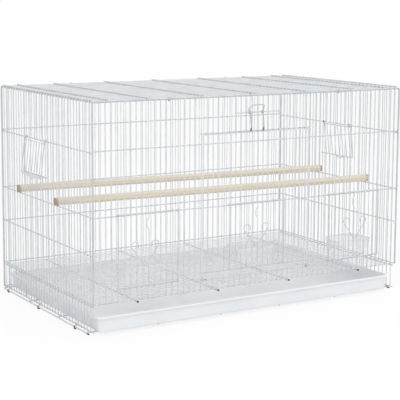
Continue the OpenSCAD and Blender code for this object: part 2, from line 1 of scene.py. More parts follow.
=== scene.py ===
"""Dresses a canary breeding cage: wires and welds, doors, tray, cups and perches, light and camera.

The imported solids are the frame. Straight wires keep their solids and get a finish; bent wires,
coils, welds, the tray and the cups are new surfaces. Sizes are in millimetres until a surface
becomes a mesh.
"""

import logging
import math
from dataclasses import dataclass
from enum import Enum

import bmesh
import bpy
import numpy as np
from mathutils import Matrix, Vector


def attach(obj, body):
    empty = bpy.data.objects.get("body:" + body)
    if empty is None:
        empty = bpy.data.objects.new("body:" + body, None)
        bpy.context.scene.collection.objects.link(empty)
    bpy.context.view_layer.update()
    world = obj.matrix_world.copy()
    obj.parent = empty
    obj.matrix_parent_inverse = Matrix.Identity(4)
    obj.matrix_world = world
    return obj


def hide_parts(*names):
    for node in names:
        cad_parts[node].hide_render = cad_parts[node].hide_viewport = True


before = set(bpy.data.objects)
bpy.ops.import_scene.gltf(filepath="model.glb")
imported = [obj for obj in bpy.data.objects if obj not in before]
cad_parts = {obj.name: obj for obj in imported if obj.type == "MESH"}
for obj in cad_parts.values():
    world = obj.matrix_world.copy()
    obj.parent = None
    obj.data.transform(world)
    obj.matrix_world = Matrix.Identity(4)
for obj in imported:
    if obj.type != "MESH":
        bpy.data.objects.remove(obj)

LOG = logging.getLogger("cage")
MM = 0.001
Colour = tuple[float, float, float]
Point = tuple[float, float, float]
Faces = list[tuple[int, ...]]
Places = np.ndarray | list[float] | float
Row = tuple[Places, Places, Places]
Socket = bpy.types.NodeSocket
WHITE = (1.0, 1.0, 1.0, 1.0)
MIRROR = np.array([-1.0, 1.0, 1.0])

# Half sizes of the welds where bars cross rails: on the front and back, on a side, and lying flat.
FRONT_WELD: Point = (1.5, 0.75, 1.7)
SIDE_WELD: Point = (0.75, 1.5, 1.7)
THIN_WELD: Point = (1.9, 1.5, 0.75)


class Side(Enum):
    """A side of the cage, as the sign of its place along X."""

    LEFT = -1.0
    RIGHT = 1.0


class NodeKind(Enum):
    """Blender's names for the shader nodes that the finishes use."""

    ATTRIBUTE = "ShaderNodeAttribute"
    BACKGROUND = "ShaderNodeBackground"
    BUMP = "ShaderNodeBump"
    COORDINATE = "ShaderNodeTexCoord"
    EMISSION = "ShaderNodeEmission"
    GEOMETRY = "ShaderNodeNewGeometry"
    GROUP = "ShaderNodeGroup"
    GROUP_INPUT = "NodeGroupInput"
    GROUP_OUTPUT = "NodeGroupOutput"
    LIGHT_PATH = "ShaderNodeLightPath"
    MAPPING = "ShaderNodeMapping"
    MAP_RANGE = "ShaderNodeMapRange"
    MATH = "ShaderNodeMath"
    MIX = "ShaderNodeMix"
    MIX_SHADER = "ShaderNodeMixShader"
    NOISE = "ShaderNodeTexNoise"
    SEPARATE = "ShaderNodeSeparateXYZ"


class SocketKind(Enum):
    """Blender's names for the sockets of the shared effects."""

    VECTOR = "NodeSocketVector"
    NUMBER = "NodeSocketFloat"
    COLOUR = "NodeSocketColor"


# ---- Sizes that the sub-assemblies share ----


@dataclass(frozen=True)
class CageSizes:
    """Sizes of the wire body, from which each sub-assembly finds its place."""

    half_w: float = 381.0
    front_y: float = -223.0028
    back_y: float = 233.9972
    front_gaps: int = 56
    side_gaps: int = 33
    bar_d: float = 2.0
    rail_d: float = 2.5
    base_d: float = 3.0
    rail_in: float = 2.2
    beside: float = 2.58
    seat: float = 0.3
    sink: float = 0.05
    rail_end: float = 379.3
    top_z: float = 460.0
    long_upper_z: float = 365.5
    side_upper_z: float = 362.0
    middle_z: float = 235.0
    lower_z: float = 159.0
    floor_z: float = 63.0
    foot_z: float = 6.85
    sill_z: float = 89.0
    hinge_z: float = 85.0
    head_z: float = 387.0
    latch_z: float = 426.0
    door_low_z: float = 99.5
    door_top_z: float = 385.0
    door_half_w: float = 132.0714
    door_bars: int = 10
    feeder_bars: int = 5
    feeder_middle: int = 19
    long_wire_z: float = 4.15
    skid_z: float = 1.2
    roof_wire_z: float = 462.2
    grate_wire_z: float = 59.95

    @property
    def outer_y(self) -> float:
        """Plane of the wires that lie in front of the front bars."""
        return self.front_y - self.rail_in

    @property
    def coil_pitch(self) -> float:
        """Length that one turn of thick wire takes up in a close coil."""
        return self.rail_d + 0.08

    @property
    def bars(self) -> np.ndarray:
        """The front or back bars between the corner posts, counted in gaps from the middle."""
        return np.arange(1 - self.front_gaps // 2, self.front_gaps // 2)

    @property
    def side_bars_y(self) -> np.ndarray:
        """Places of the side bars between the corner posts."""
        return self.bar_y(np.arange(1, self.side_gaps))

    def bar_x(self, steps: np.ndarray | float) -> np.ndarray | float:
        """Place of a front or back bar, counted in gaps from the middle."""
        return steps * 2 * self.half_w / self.front_gaps

    def bar_y(self, steps: np.ndarray | float) -> np.ndarray | float:
        """Place of a side bar, counted in gaps from the front."""
        return self.front_y + steps * (self.back_y - self.front_y) / self.side_gaps


CAGE = CageSizes()


# ---- Surfaces ----


def ring_faces(rings: int, sides: int) -> Faces:
    """Quads between neighbouring closed rings, and one flat face over each end.

    Args:
        rings: Number of rings.
        sides: Points in each ring.

    Returns:
        The faces as tuples of point numbers.
    """
    row = np.arange(rings - 1)[:, None] * sides
    column = np.arange(sides)[None, :]
    after = (column + 1) % sides
    corners = np.stack([row + column, row + after, row + sides + after, row + sides + column], axis=-1)
    faces = [tuple(face) for face in corners.reshape(-1, 4).tolist()]
    last = (rings - 1) * sides
    return faces + [tuple(range(sides))[::-1], tuple(range(last, last + sides))]


def renumbered(faces: Faces, start: int) -> Faces:
    """Faces with a start added to their point numbers."""
    return [tuple(number + start for number in face) for face in faces]


@dataclass
class Surface:
    """Points and faces of one or more closed shells, with a mark that a finish may read.

    The mark is 1 where a wire's bare steel shows, where painted shade is drawn as dark steel on the roof
    hook's curl and the left feet's ends, and on a cup's thicker rim.
    """

    points: np.ndarray
    faces: Faces
    mark: np.ndarray

    @staticmethod
    def joined(parts: list["Surface"]) -> "Surface":
        """Puts several surfaces into one, keeping them separate shells.

        Args:
            parts: The surfaces to join.

        Returns:
            One surface with the faces renumbered.
        """
        starts = np.cumsum([0] + [len(part.points) for part in parts[:-1]]).tolist()
        faces = [face for part, start in zip(parts, starts) for face in renumbered(part.faces, start)]
        points = np.vstack([part.points for part in parts])
        return Surface(points, faces, np.concatenate([part.mark for part in parts]))

    def moved(self, place: Point, turn: np.ndarray = np.eye(3)) -> "Surface":
        """Turns every point by a matrix and then shifts it: p' = turn p + place.

        Args:
            place: The shift.
            turn: A 3 by 3 matrix.

        Returns:
            The surface at its new place.
        """
        return Surface(self.points @ turn.T + np.array(place), self.faces, self.mark)

    def piece(
        self, name: str, material: bpy.types.Material, body: str, slot: str = "coated_wire"
    ) -> bpy.types.Object:
        """Makes the smooth-shaded mesh object and lets it ride on a body.

        Args:
            name: The piece's name.
            material: Its finish.
            body: The body that it moves with.
            slot: The record's material slot for it; not used.

        Returns:
            The new object.
        """
        mesh = bpy.data.meshes.new(name)
        mesh.from_pydata((self.points * MM).tolist(), [], self.faces)
        work = bmesh.new()
        work.from_mesh(mesh)
        bmesh.ops.recalc_face_normals(work, faces=work.faces)
        work.to_mesh(mesh)
        work.free()
        mesh.polygons.foreach_set("use_smooth", np.ones(len(mesh.polygons), dtype=bool))
        marks = mesh.attributes.new("mark", "FLOAT", "POINT")
        marks.data.foreach_set("value", self.mark.astype(np.float32))
        mesh.materials.append(material)
        mesh.update()
        made = bpy.data.objects.new(name, mesh)
        bpy.context.scene.collection.objects.link(made)
        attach(made, body)
        LOG.info("%s: %d faces on %s", name, len(self.faces), body)
        return made


def unit(vectors: np.ndarray) -> np.ndarray:
    """Vectors divided by their own length."""
    return vectors / np.linalg.norm(vectors, axis=-1, keepdims=True)


def run_along(path: np.ndarray) -> np.ndarray:
    """Length of a path up to each of its points."""
    return np.concatenate([[0.0], np.cumsum(np.linalg.norm(np.diff(path, axis=0), axis=1))])


def ring_axes(path: np.ndarray) -> tuple[np.ndarray, np.ndarray, np.ndarray]:
    """Axes of the rings round a path, which follow its bends and never twist.

    The way ahead is the mean of the steps before and after a point. Any two axes across it are
    carried from each point to the next by two mirrorings, first along the step and then along
    the change of way. The angle that this leaves to the next point's own axes is summed along
    the path, and each pair of axes is turned by its sum.

    Args:
        path: Points of the path, in order.

    Returns:
        The two axes across the path and the way ahead, at each point.
    """
    step = np.diff(path, axis=0)
    way = unit(step)
    ahead = unit(np.vstack([way[:1], way[:-1] + way[1:], way[-1:]]))
    least = np.eye(3)[np.argmin(np.abs(ahead), axis=1)]
    across = unit(np.cross(ahead, least))
    other = np.cross(ahead, across)
    flip = lambda vectors, along: vectors - 2 * np.sum(vectors * along, 1, keepdims=True) * along
    change = unit(ahead[1:] - flip(ahead[:-1], way))
    carried = flip(flip(across[:-1], way), change)
    twist = np.arctan2(np.sum(carried * other[1:], 1), np.sum(carried * across[1:], 1))
    turn = np.concatenate([[0.0], np.cumsum(twist)])[:, None]
    return np.cos(turn) * across + np.sin(turn) * other, np.cos(turn) * other - np.sin(turn) * across, ahead


def tube(
    path: np.ndarray,
    radius: np.ndarray | float,
    sides: int = 10,
    bare_ends: tuple[float, float] = (0.0, 0.0),
) -> Surface:
    """A round wire along a path, with a low dome on each end.

    Point (s, a) lies at path(s) + r(s) (cos a across(s) + sin a other(s)); over the ends r falls
    to r cos b while the ring moves out by 0.6 r sin b.

    Args:
        path: Points of the path, in order.
        radius: The wire's radius, for the whole path or at each point.
        sides: Points in each ring.
        bare_ends: Length at the first and the last end that is marked as dark bare steel; on the roof hook
            and the left feet this dark also paints shade.

    Returns:
        The closed surface.
    """
    path = np.asarray(path, dtype=float)
    across, other, ahead = ring_axes(path)
    size = np.broadcast_to(np.asarray(radius, dtype=float), len(path))
    lean = np.radians([72.0, 40.0])
    first = path[0] - ahead[0] * (0.6 * size[0] * np.sin(lean))[:, None]
    last = path[-1] + ahead[-1] * (0.6 * size[-1] * np.sin(lean[::-1]))[:, None]
    centres = np.vstack([first, path, last])
    size = np.concatenate([size[0] * np.cos(lean), size, size[-1] * np.cos(lean[::-1])])
    pick = np.clip(np.arange(len(centres)) - 2, 0, len(path) - 1)
    angle = np.linspace(0, 2 * np.pi, sides, endpoint=False)[None, :, None]
    spoke = np.cos(angle) * across[pick][:, None] + np.sin(angle) * other[pick][:, None]
    points = centres[:, None] + size[:, None, None] * spoke
    run = run_along(path)[pick]
    bare = (run < bare_ends[0]) | (run > run[-1] - bare_ends[1])
    mark = np.repeat(bare.astype(float), sides)
    return Surface(points.reshape(-1, 3), ring_faces(len(centres), sides), mark)


def bent(corners: list[Point], radius: float | list[float], steps: int = 6) -> np.ndarray:
    """A path whose corners are bent to arcs.

    At a corner q, between the ways u in and v out, with the turn t between them, the arc's
    centre is q + (v - u) / |v - u| r / cos(t / 2), and the arc runs between the points that lie
    r tan(t / 2) before and after q.

    Args:
        corners: The corners, with both ends.
        radius: Bend radius, one for all the bends or one for each.
        steps: Pieces of each arc.

    Returns:
        The points of the path.
    """
    corner = np.asarray(corners, dtype=float)
    way = unit(np.diff(corner, axis=0))
    into, out = way[:-1, None], way[1:, None]
    half = np.arccos(np.clip(np.sum(into * out, -1, keepdims=True), -1, 1)) / 2
    bend = np.broadcast_to(np.asarray(radius, dtype=float), len(way) - 1)[:, None, None]
    middle = corner[1:-1, None] + unit(out - into) * bend / np.cos(half)
    start = corner[1:-1, None] - into * bend * np.tan(half) - middle
    end = corner[1:-1, None] + out * bend * np.tan(half) - middle
    share = np.linspace(0, 1, steps + 1)[None, :, None]
    swung = np.sin((1 - share) * 2 * half) * start + np.sin(share * 2 * half) * end
    arcs = middle + swung / np.sin(2 * half)
    return np.vstack([corner[:1], arcs.reshape(-1, 3), corner[-1:]])


def coil(centre: Point, start: Point, up: Point, turns: float, pitch: Point, steps: int = 20) -> np.ndarray:
    """Points of a coil: centre + cos a start + sin a up + a / 2 pi pitch.

    Args:
        centre: The coil's centre at its first point.
        start: From the centre to the first point.
        up: The same length, a quarter turn on.
        turns: How often it goes round.
        pitch: How far it moves with each turn.
        steps: Points in each turn.

    Returns:
        The points, with both ends.
    """
    angle = np.linspace(0, 2 * np.pi * turns, round(steps * turns) + 1)[:, None]
    circle = np.array(centre) + np.cos(angle) * np.array(start) + np.sin(angle) * np.array(up)
    return circle + angle / (2 * np.pi) * np.array(pitch)


def nuggets(centres: np.ndarray, half: Point, sides: int = 6) -> Surface:
    """Small squashed balls of weld metal, one at each crossing.

    Point (b, a) of each lies at c + half (cos b cos a, cos b sin a, sin b).

    Args:
        centres: Where the wires cross.
        half: Half of a nugget's size along each axis.
        sides: Points in each of its five rings.

    Returns:
        All the nuggets as one surface of separate shells.
    """
    lean = np.radians([-72.0, -36.0, 0.0, 36.0, 72.0])[:, None]
    angle = np.linspace(0, 2 * np.pi, sides, endpoint=False)[None, :]
    axes = [np.cos(lean) * np.cos(angle), np.cos(lean) * np.sin(angle), np.sin(lean) + 0 * angle]
    ball = np.stack(axes, axis=-1).reshape(-1, 3)
    points = (np.asarray(centres, dtype=float).reshape(-1, 1, 3) + ball * np.array(half)).reshape(-1, 3)
    faces = ring_faces(len(lean), sides)
    numbered = [face for start in range(0, len(points), len(ball)) for face in renumbered(faces, start)]
    return Surface(points, numbered, np.zeros(len(points)))


def crossings(x: Places, y: Places, z: Places) -> np.ndarray:
    """Every combination of the given places, as points."""
    grid = np.meshgrid(np.atleast_1d(x), np.atleast_1d(y), np.atleast_1d(z), indexing="ij")
    return np.stack([axis.ravel() for axis in grid], axis=-1)


def welds(half: Point, *rows: Row) -> Surface:
    """Nuggets of one size at every combination of each row's places.

    Args:
        half: Half of a nugget's size along each axis.
        rows: Places along X, Y and Z.

    Returns:
        The nuggets.
    """
    return nuggets(np.vstack([crossings(*row) for row in rows]), half)


def both(places: Places) -> np.ndarray:
    """Places left of the middle and then the same ones right of it."""
    return np.concatenate([-np.array(places), np.array(places)])


def basin(
    middle: tuple[float, float],
    size: tuple[float, float],
    radii: tuple[float, float, float, float],
    profile: list[tuple[float, float]],
    steps: int = 8,
) -> Surface:
    """A moulded dish: a profile carried round a rectangle with rounded corners.

    Ring (d, z) is the outline drawn in by d at the height z: each corner's centre keeps its
    place while its radius becomes r - d, but no less than 0.4.

    Args:
        middle: The rectangle's middle in plan.
        size: Its width and depth.
        radii: Corner radii, from the right back corner round to the right front one.
        profile: Steps (d, z) from the underside up outside, over the rim and down inside.
        steps: Pieces of each corner's arc.

    Returns:
        The closed surface.
    """
    inset = np.array(profile)[:, 0][:, None, None]
    height = np.array(profile)[:, 1][:, None, None]
    sign = np.array([[1, 1], [-1, 1], [-1, -1], [1, -1]], dtype=float)
    quarter = np.arange(4)[:, None] * np.pi / 2 + np.linspace(0, np.pi / 2, steps + 1)[None, :]
    radius = np.array(radii, dtype=float)[None, :, None]
    left = np.maximum(radius - inset, 0.4)
    reach = np.array(size)[None, None, :] / 2 - inset
    corner = np.array(middle) + sign[None] * (reach - left)
    x = corner[..., 0][..., None] + left * np.cos(quarter)[None]
    y = corner[..., 1][..., None] + left * np.sin(quarter)[None]
    points = np.stack([x, y, height + 0 * quarter[None]], axis=-1).reshape(-1, 3)
    faces = ring_faces(len(profile), len(points) // len(profile))
    return Surface(points, faces, np.zeros(len(points)))


# ---- Shader graphs and shared effects ----


class Graph:
    """A node tree with short ways to add nodes and join them."""

    def __init__(self, tree: bpy.types.NodeTree) -> None:
        """Keeps the tree to work on."""
        self.tree = tree

    def add(self, kind: NodeKind, inputs: dict | None = None, **settings: object) -> bpy.types.Node:
        """Adds a node.

        Args:
            kind: The node's kind.
            inputs: A value, or a socket to link, for each input by name or number.
            settings: Properties of the node.

        Returns:
            The new node.
        """
        made = self.tree.nodes.new(kind.value)
        for name, value in settings.items():
            setattr(made, name, value)
        self.fill(made, inputs or {})
        return made

    def fill(self, node: bpy.types.Node, inputs: dict) -> None:
        """Sets or links a node's inputs.

        Args:
            node: The node.
            inputs: A value, or a socket to link, for each input by name or number.
        """
        for name, value in inputs.items():
            if isinstance(value, Socket):
                self.tree.links.new(value, node.inputs[name])
            else:
                node.inputs[name].default_value = value

    def use(self, group: bpy.types.NodeTree, inputs: dict) -> Socket:
        """Places a shared effect, fills its inputs and returns its output."""
        return self.add(NodeKind.GROUP, inputs, node_tree=group).outputs[0]

    def noise(self, place: Socket, scale: float | Socket, detail: float) -> Socket:
        """Adds noise at a place and returns its value."""
        return self.add(NodeKind.NOISE, {"Vector": place, "Scale": scale, "Detail": detail}).outputs[0]

    def maths(self, operation: str, first: object, second: object = 0.0, clamp: bool = True) -> Socket:
        """Adds a sum of two values and returns it, kept between 0 and 1 where clamp is on."""
        return self.add(NodeKind.MATH, {0: first, 1: second}, operation=operation, use_clamp=clamp).outputs[0]

    def between(self, value: Socket, low: float, high: float) -> Socket:
        """Adds a smooth step of a value from 0 at low to 1 at high."""
        inputs = {"Value": value, "From Min": low, "From Max": high}
        return self.add(NodeKind.MAP_RANGE, inputs, interpolation_type="SMOOTHSTEP").outputs[0]

    def ranged(self, value: Socket, low: float, high: float) -> Socket:
        """Adds a value that goes from low to high as the given one goes from 0 to 1."""
        return self.add(NodeKind.MAP_RANGE, {"Value": value, "To Min": low, "To Max": high}).outputs[0]

    def blend(self, share: object, first: object, second: object) -> Socket:
        """Adds a mix of two colours and returns it."""
        return self.add(NodeKind.MIX, {0: share, 6: first, 7: second}, data_type="RGBA").outputs[2]

    def mark(self) -> Socket:
        """Adds the surface's mark and returns it."""
        return self.add(NodeKind.ATTRIBUTE, attribute_name="mark").outputs["Fac"]

    def bump(self, height: Socket, strength: float, distance: float) -> Socket:
        """Adds a normal that is bumped by a height and returns it."""
        inputs = {"Strength": strength, "Distance": distance, "Height": height}
        return self.add(NodeKind.BUMP, inputs).outputs[0]


def new_group(name: str, **inputs: SocketKind) -> tuple[Graph, bpy.types.NodeOutputs]:
    """Starts a shader node group.

    Args:
        name: The group's name.
        inputs: Socket kind by input name.

    Returns:
        Its graph and the sockets that its inputs arrive at.
    """
    graph = Graph(bpy.data.node_groups.new(name, "ShaderNodeTree"))
    for label, kind in inputs.items():
        graph.tree.interface.new_socket(label, in_out="INPUT", socket_type=kind.value)
    return graph, graph.add(NodeKind.GROUP_INPUT).outputs


def end_group(graph: Graph, label: str, kind: SocketKind, value: Socket) -> bpy.types.NodeTree:
    """Gives a shader node group its one output.

    Args:
        graph: The group's graph.
        label: The output's name.
        kind: Its socket kind.
        value: What it hands out.

    Returns:
        The finished group.
    """
    graph.tree.interface.new_socket(label, in_out="OUTPUT", socket_type=kind.value)
    graph.add(NodeKind.GROUP_OUTPUT, {label: value})
    return graph.tree


class Effects:
    """The effects that more than one finish uses, each built once as a node group."""

    def __init__(self) -> None:
        """Builds the groups."""
        self.mottle = self._mottle()
        self.grain = self._grain()
        self.dust = self._dust()

    def _mottle(self) -> bpy.types.NodeTree:
        """Colour that wanders between two tones: mix(dark, light, step(noise))."""
        vector, number, colour = SocketKind.VECTOR, SocketKind.NUMBER, SocketKind.COLOUR
        graph, given = new_group("tone wander", Place=vector, Scale=number, Dark=colour, Light=colour)
        share = graph.between(graph.noise(given["Place"], given["Scale"], 4.0), 0.32, 0.68)
        return end_group(graph, "Colour", colour, graph.blend(share, given["Dark"], given["Light"]))

    def _grain(self) -> bpy.types.NodeTree:
        """Height of a fine skin: broad noise at the scale and weaker noise four times finer."""
        graph, given = new_group("fine skin", Place=SocketKind.VECTOR, Scale=SocketKind.NUMBER)
        broad = graph.noise(given["Place"], given["Scale"], 2.0)
        fine = graph.noise(given["Place"], graph.maths("MULTIPLY", given["Scale"], 4.0, False), 1.0)
        height = graph.maths("ADD", graph.maths("MULTIPLY", broad, 0.65), graph.maths("MULTIPLY", fine, 0.35))
        return end_group(graph, "Height", SocketKind.NUMBER, height)

    def _dust(self) -> bpy.types.NodeTree:
        """Mask of dust: how far a face looks up, times patches of noise, times the amount."""
        vector, number = SocketKind.VECTOR, SocketKind.NUMBER
        graph, given = new_group("settled dust", Place=vector, Facing=vector, Amount=number)
        height = graph.add(NodeKind.SEPARATE, {0: given["Facing"]}).outputs[2]
        patches = graph.between(graph.noise(given["Place"], 26.0, 5.0), 0.3, 0.75)
        mask = graph.maths("MULTIPLY", graph.between(height, 0.2, 0.95), patches)
        return end_group(graph, "Mask", number, graph.maths("MULTIPLY", mask, given["Amount"]))


def opaque(colour: Colour, factor: float = 1.0) -> tuple[float, float, float, float]:
    """A colour times a factor, with full alpha."""
    return (colour[0] * factor, colour[1] * factor, colour[2] * factor, 1.0)


def new_material(name: str) -> tuple[bpy.types.Material, Graph, bpy.types.Node]:
    """Starts a material and returns it with its graph and its Principled shader."""
    material = bpy.data.materials.new(name)
    material.use_nodes = True
    return material, Graph(material.node_tree), material.node_tree.nodes["Principled BSDF"]


# ---- Finishes ----


@dataclass(frozen=True)
class Coat:
    """What powder coat and moulded plastic share: a tone that wanders, settled dust and a fine skin.

    The skin is the grain's scale and the strength of its bump. The tones are shares of the colour.
    """

    name: str
    colour: Colour = (0.66, 0.68, 0.70)
    tones: tuple[float, float] = (0.93, 1.04)
    tone_scale: float = 34.0
    dust: Colour = (0.52, 0.50, 0.46)
    dust_amount: float = 0.25
    rough: tuple[float, float] = (0.36, 0.8)
    skin: tuple[float, float] = (700.0, 0.25)

    def worn(self, graph: Graph, place: Socket, colour: Socket, dusty: Socket) -> dict[str, Socket | float]:
        """What the shader takes beside its normal; each kind of coat wears in its own way.

        Args:
            graph: The material's graph.
            place: The object's own coordinates.
            colour: The dusted colour.
            dusty: The mask of the dust.

        Returns:
            A socket for each input of the shader.
        """
        raise NotImplementedError

    def make(self, effects: Effects) -> bpy.types.Material:
        """Builds the material.

        Args:
            effects: The shared node groups.

        Returns:
            The material.
        """
        material, graph, shader = new_material(self.name)
        place = graph.add(NodeKind.COORDINATE).outputs["Object"]
        facing = graph.add(NodeKind.GEOMETRY).outputs["Normal"]
        dark, light = (opaque(self.colour, tone) for tone in self.tones)
        tones = {"Place": place, "Scale": self.tone_scale, "Dark": dark, "Light": light}
        tone = graph.use(effects.mottle, tones)
        dusty = graph.use(effects.dust, {"Place": place, "Facing": facing, "Amount": self.dust_amount})
        graph.fill(shader, self.worn(graph, place, graph.blend(dusty, tone, opaque(self.dust)), dusty))
        skin = graph.use(effects.grain, {"Place": place, "Scale": self.skin[0]})
        graph.fill(shader, {"Normal": graph.bump(skin, self.skin[1], 0.0002)})
        return material


@dataclass(frozen=True)
class CoatedWire(Coat):
    """Powder coat over steel wire, with dark bare steel where a wire was cut; the same dark also paints shade
    where a surface is marked for it.
    """

    steel: Colour = (0.035, 0.034, 0.033)
    bare_beyond_y: tuple[float, float] | None = None
    blur: float = 0.4

    def worn(self, graph: Graph, place: Socket, colour: Socket, dusty: Socket) -> dict[str, Socket | float]:
        """Bares the steel where the surface is marked, which on some wires is painted shade, and past two
        places along Y.
        """
        bare = graph.between(graph.mark(), 0.2, 0.8)
        if self.bare_beyond_y is not None:
            (low, high), blur = (limit * MM for limit in self.bare_beyond_y), self.blur * MM
            y = graph.add(NodeKind.SEPARATE, {0: place}).outputs[1]
            before = graph.maths("SUBTRACT", 1.0, graph.between(y, low - blur, low + blur))
            behind = graph.between(y, high - blur, high + blur)
            bare = graph.maths("MAXIMUM", bare, graph.maths("MAXIMUM", before, behind))
        colour = graph.blend(bare, colour, opaque(self.steel))
        return {"Base Color": colour, "Roughness": graph.ranged(dusty, *self.rough)}


@dataclass(frozen=True)
class MouldedPlastic(Coat):
    """Smooth moulded plastic, scuffed in patches. Its alpha may differ where the surface is marked."""

    colour: Colour = (0.84, 0.86, 0.88)
    tones: tuple[float, float] = (0.965, 1.01)
    tone_scale: float = 7.0
    dust: Colour = (0.60, 0.59, 0.55)
    dust_amount: float = 0.15
    rough: tuple[float, float] = (0.3, 0.52)
    skin: tuple[float, float] = (260.0, 0.12)
    alpha: tuple[float, float] | None = None

    def worn(self, graph: Graph, place: Socket, colour: Socket, dusty: Socket) -> dict[str, Socket | float]:
        """Adds the scuffs, and the alpha of a clear piece."""
        scuffs = graph.between(graph.noise(place, 90.0, 6.0), 0.45, 0.75)
        worn = {"Base Color": colour, "Roughness": graph.ranged(scuffs, *self.rough)}
        return worn | ({"Alpha": graph.ranged(graph.mark(), *self.alpha)} if self.alpha else {})


@dataclass(frozen=True)
class PerchWood:
    """Bare pale dowel: grain along its length, darker ends."""

    name: str
    turn: float
    centre_y: float
    half_length: float
    darker_end_mm: tuple[float, float] = (9.0, 1.0)
    pale: Colour = (0.79, 0.72, 0.59)
    vein: Colour = (0.61, 0.525, 0.405)
    darker_end: Colour = (0.30, 0.21, 0.14)

    def make(self) -> bpy.types.Material:
        """Builds the material.

        Returns:
            The material.
        """
        material, graph, shader = new_material(self.name)
        mapped = lambda place, **inputs: graph.add(NodeKind.MAPPING, {"Vector": place, **inputs}).outputs[0]
        place = graph.add(NodeKind.COORDINATE).outputs["Object"]
        centred = mapped(place, Location=(0.0, -self.centre_y * MM, 0.0))
        along = mapped(centred, Rotation=(0.0, 0.0, -self.turn))
        lines = graph.between(graph.noise(mapped(along, Scale=(5.0, 330.0, 330.0)), 1.0, 3.0), 0.42, 0.72)
        specks = graph.between(graph.noise(mapped(along, Scale=(60.0, 1500.0, 1500.0)), 1.0, 1.0), 0.6, 0.8)
        grain = graph.maths("ADD", graph.maths("MULTIPLY", lines, 0.75), graph.maths("MULTIPLY", specks, 0.3))
        wood = graph.blend(grain, opaque(self.pale), opaque(self.vein))
        run = graph.add(NodeKind.SEPARATE, {0: along}).outputs[0]
        far = graph.maths("ABSOLUTE", run, clamp=False)
        # Both ends of the dowel are coloured towards a darker brown.
        end = graph.between(far, *((self.half_length - inset) * MM for inset in self.darker_end_mm))
        colour = graph.blend(graph.maths("MULTIPLY", end, 0.75), wood, opaque(self.darker_end))
        bump, rough = graph.bump(grain, 0.4, 0.0003), graph.ranged(lines, 0.55, 0.72)
        graph.fill(shader, {"Base Color": colour, "Roughness": rough, "Normal": bump})
        return material


class Finishes:
    """Every finish of the cage, built once."""

    def __init__(self) -> None:
        """Builds the shared effects and the materials."""
        effects = Effects()
        coated = lambda name, **settings: CoatedWire(name, **settings).make(effects)
        front, back = CAGE.front_y, CAGE.back_y
        self.wire = coated("coated wire")
        # Painted shade: the welds get a darker copy of the coat, which paints the shade in the creases where
        # wires cross, and a heavier dust; the roof's crossings get an even darker copy.
        self.weld = coated("welded crossing", colour=(0.42, 0.44, 0.46), dust_amount=0.5)
        self.roof_weld = coated("roof crossing", colour=(0.34, 0.35, 0.36), dust_amount=0.2)
        # Painted shade: the latch gets a darker copy of the coat.
        self.latch = coated("latch wire", colour=(0.52, 0.53, 0.54), dust_amount=0.1)
        # Painted light: the back bars get a lighter copy of the coat.
        self.painted_light_back = coated("painted_lighter wire", colour=(0.80, 0.82, 0.84))
        # Painted shade: the corner posts get a darker copy of the coat.
        self.post = coated("post wire", colour=(0.54, 0.56, 0.58))
        # Painted light: the door frame and its welds get a lighter copy of the coat.
        self.door_frame = coated("door frame wire", colour=(0.74, 0.76, 0.78))
        # Painted light: the grate wires and their welds get a lighter copy of the coat, so that they read as
        # lit against the tray.
        self.grate = coated("grate wire", colour=(0.84, 0.86, 0.88), dust_amount=0.1)
        self.rod = coated("cut grate rod", bare_beyond_y=(front + 6.2, back - 6.2))
        self.skid = coated("cut skid wire", bare_beyond_y=(front + 25.0, back - 6.5))
        self.tray = MouldedPlastic("tray plastic").make(effects)
        self.cup = MouldedPlastic("cup plastic", rough=(0.2, 0.42), alpha=(0.13, 0.5)).make(effects)


# ---- Sub-assemblies ----


def coat_nodes(names: list[str] | tuple[str, ...], material: bpy.types.Material) -> None:
    """Gives solids that keep their shape a finish.

    Args:
        names: The solids' nodes.
        material: The finish.
    """
    for name in names:
        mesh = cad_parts[name].data
        mesh.materials.clear()
        mesh.materials.append(material)
        LOG.info("%s: kept, %s", name, material.name)


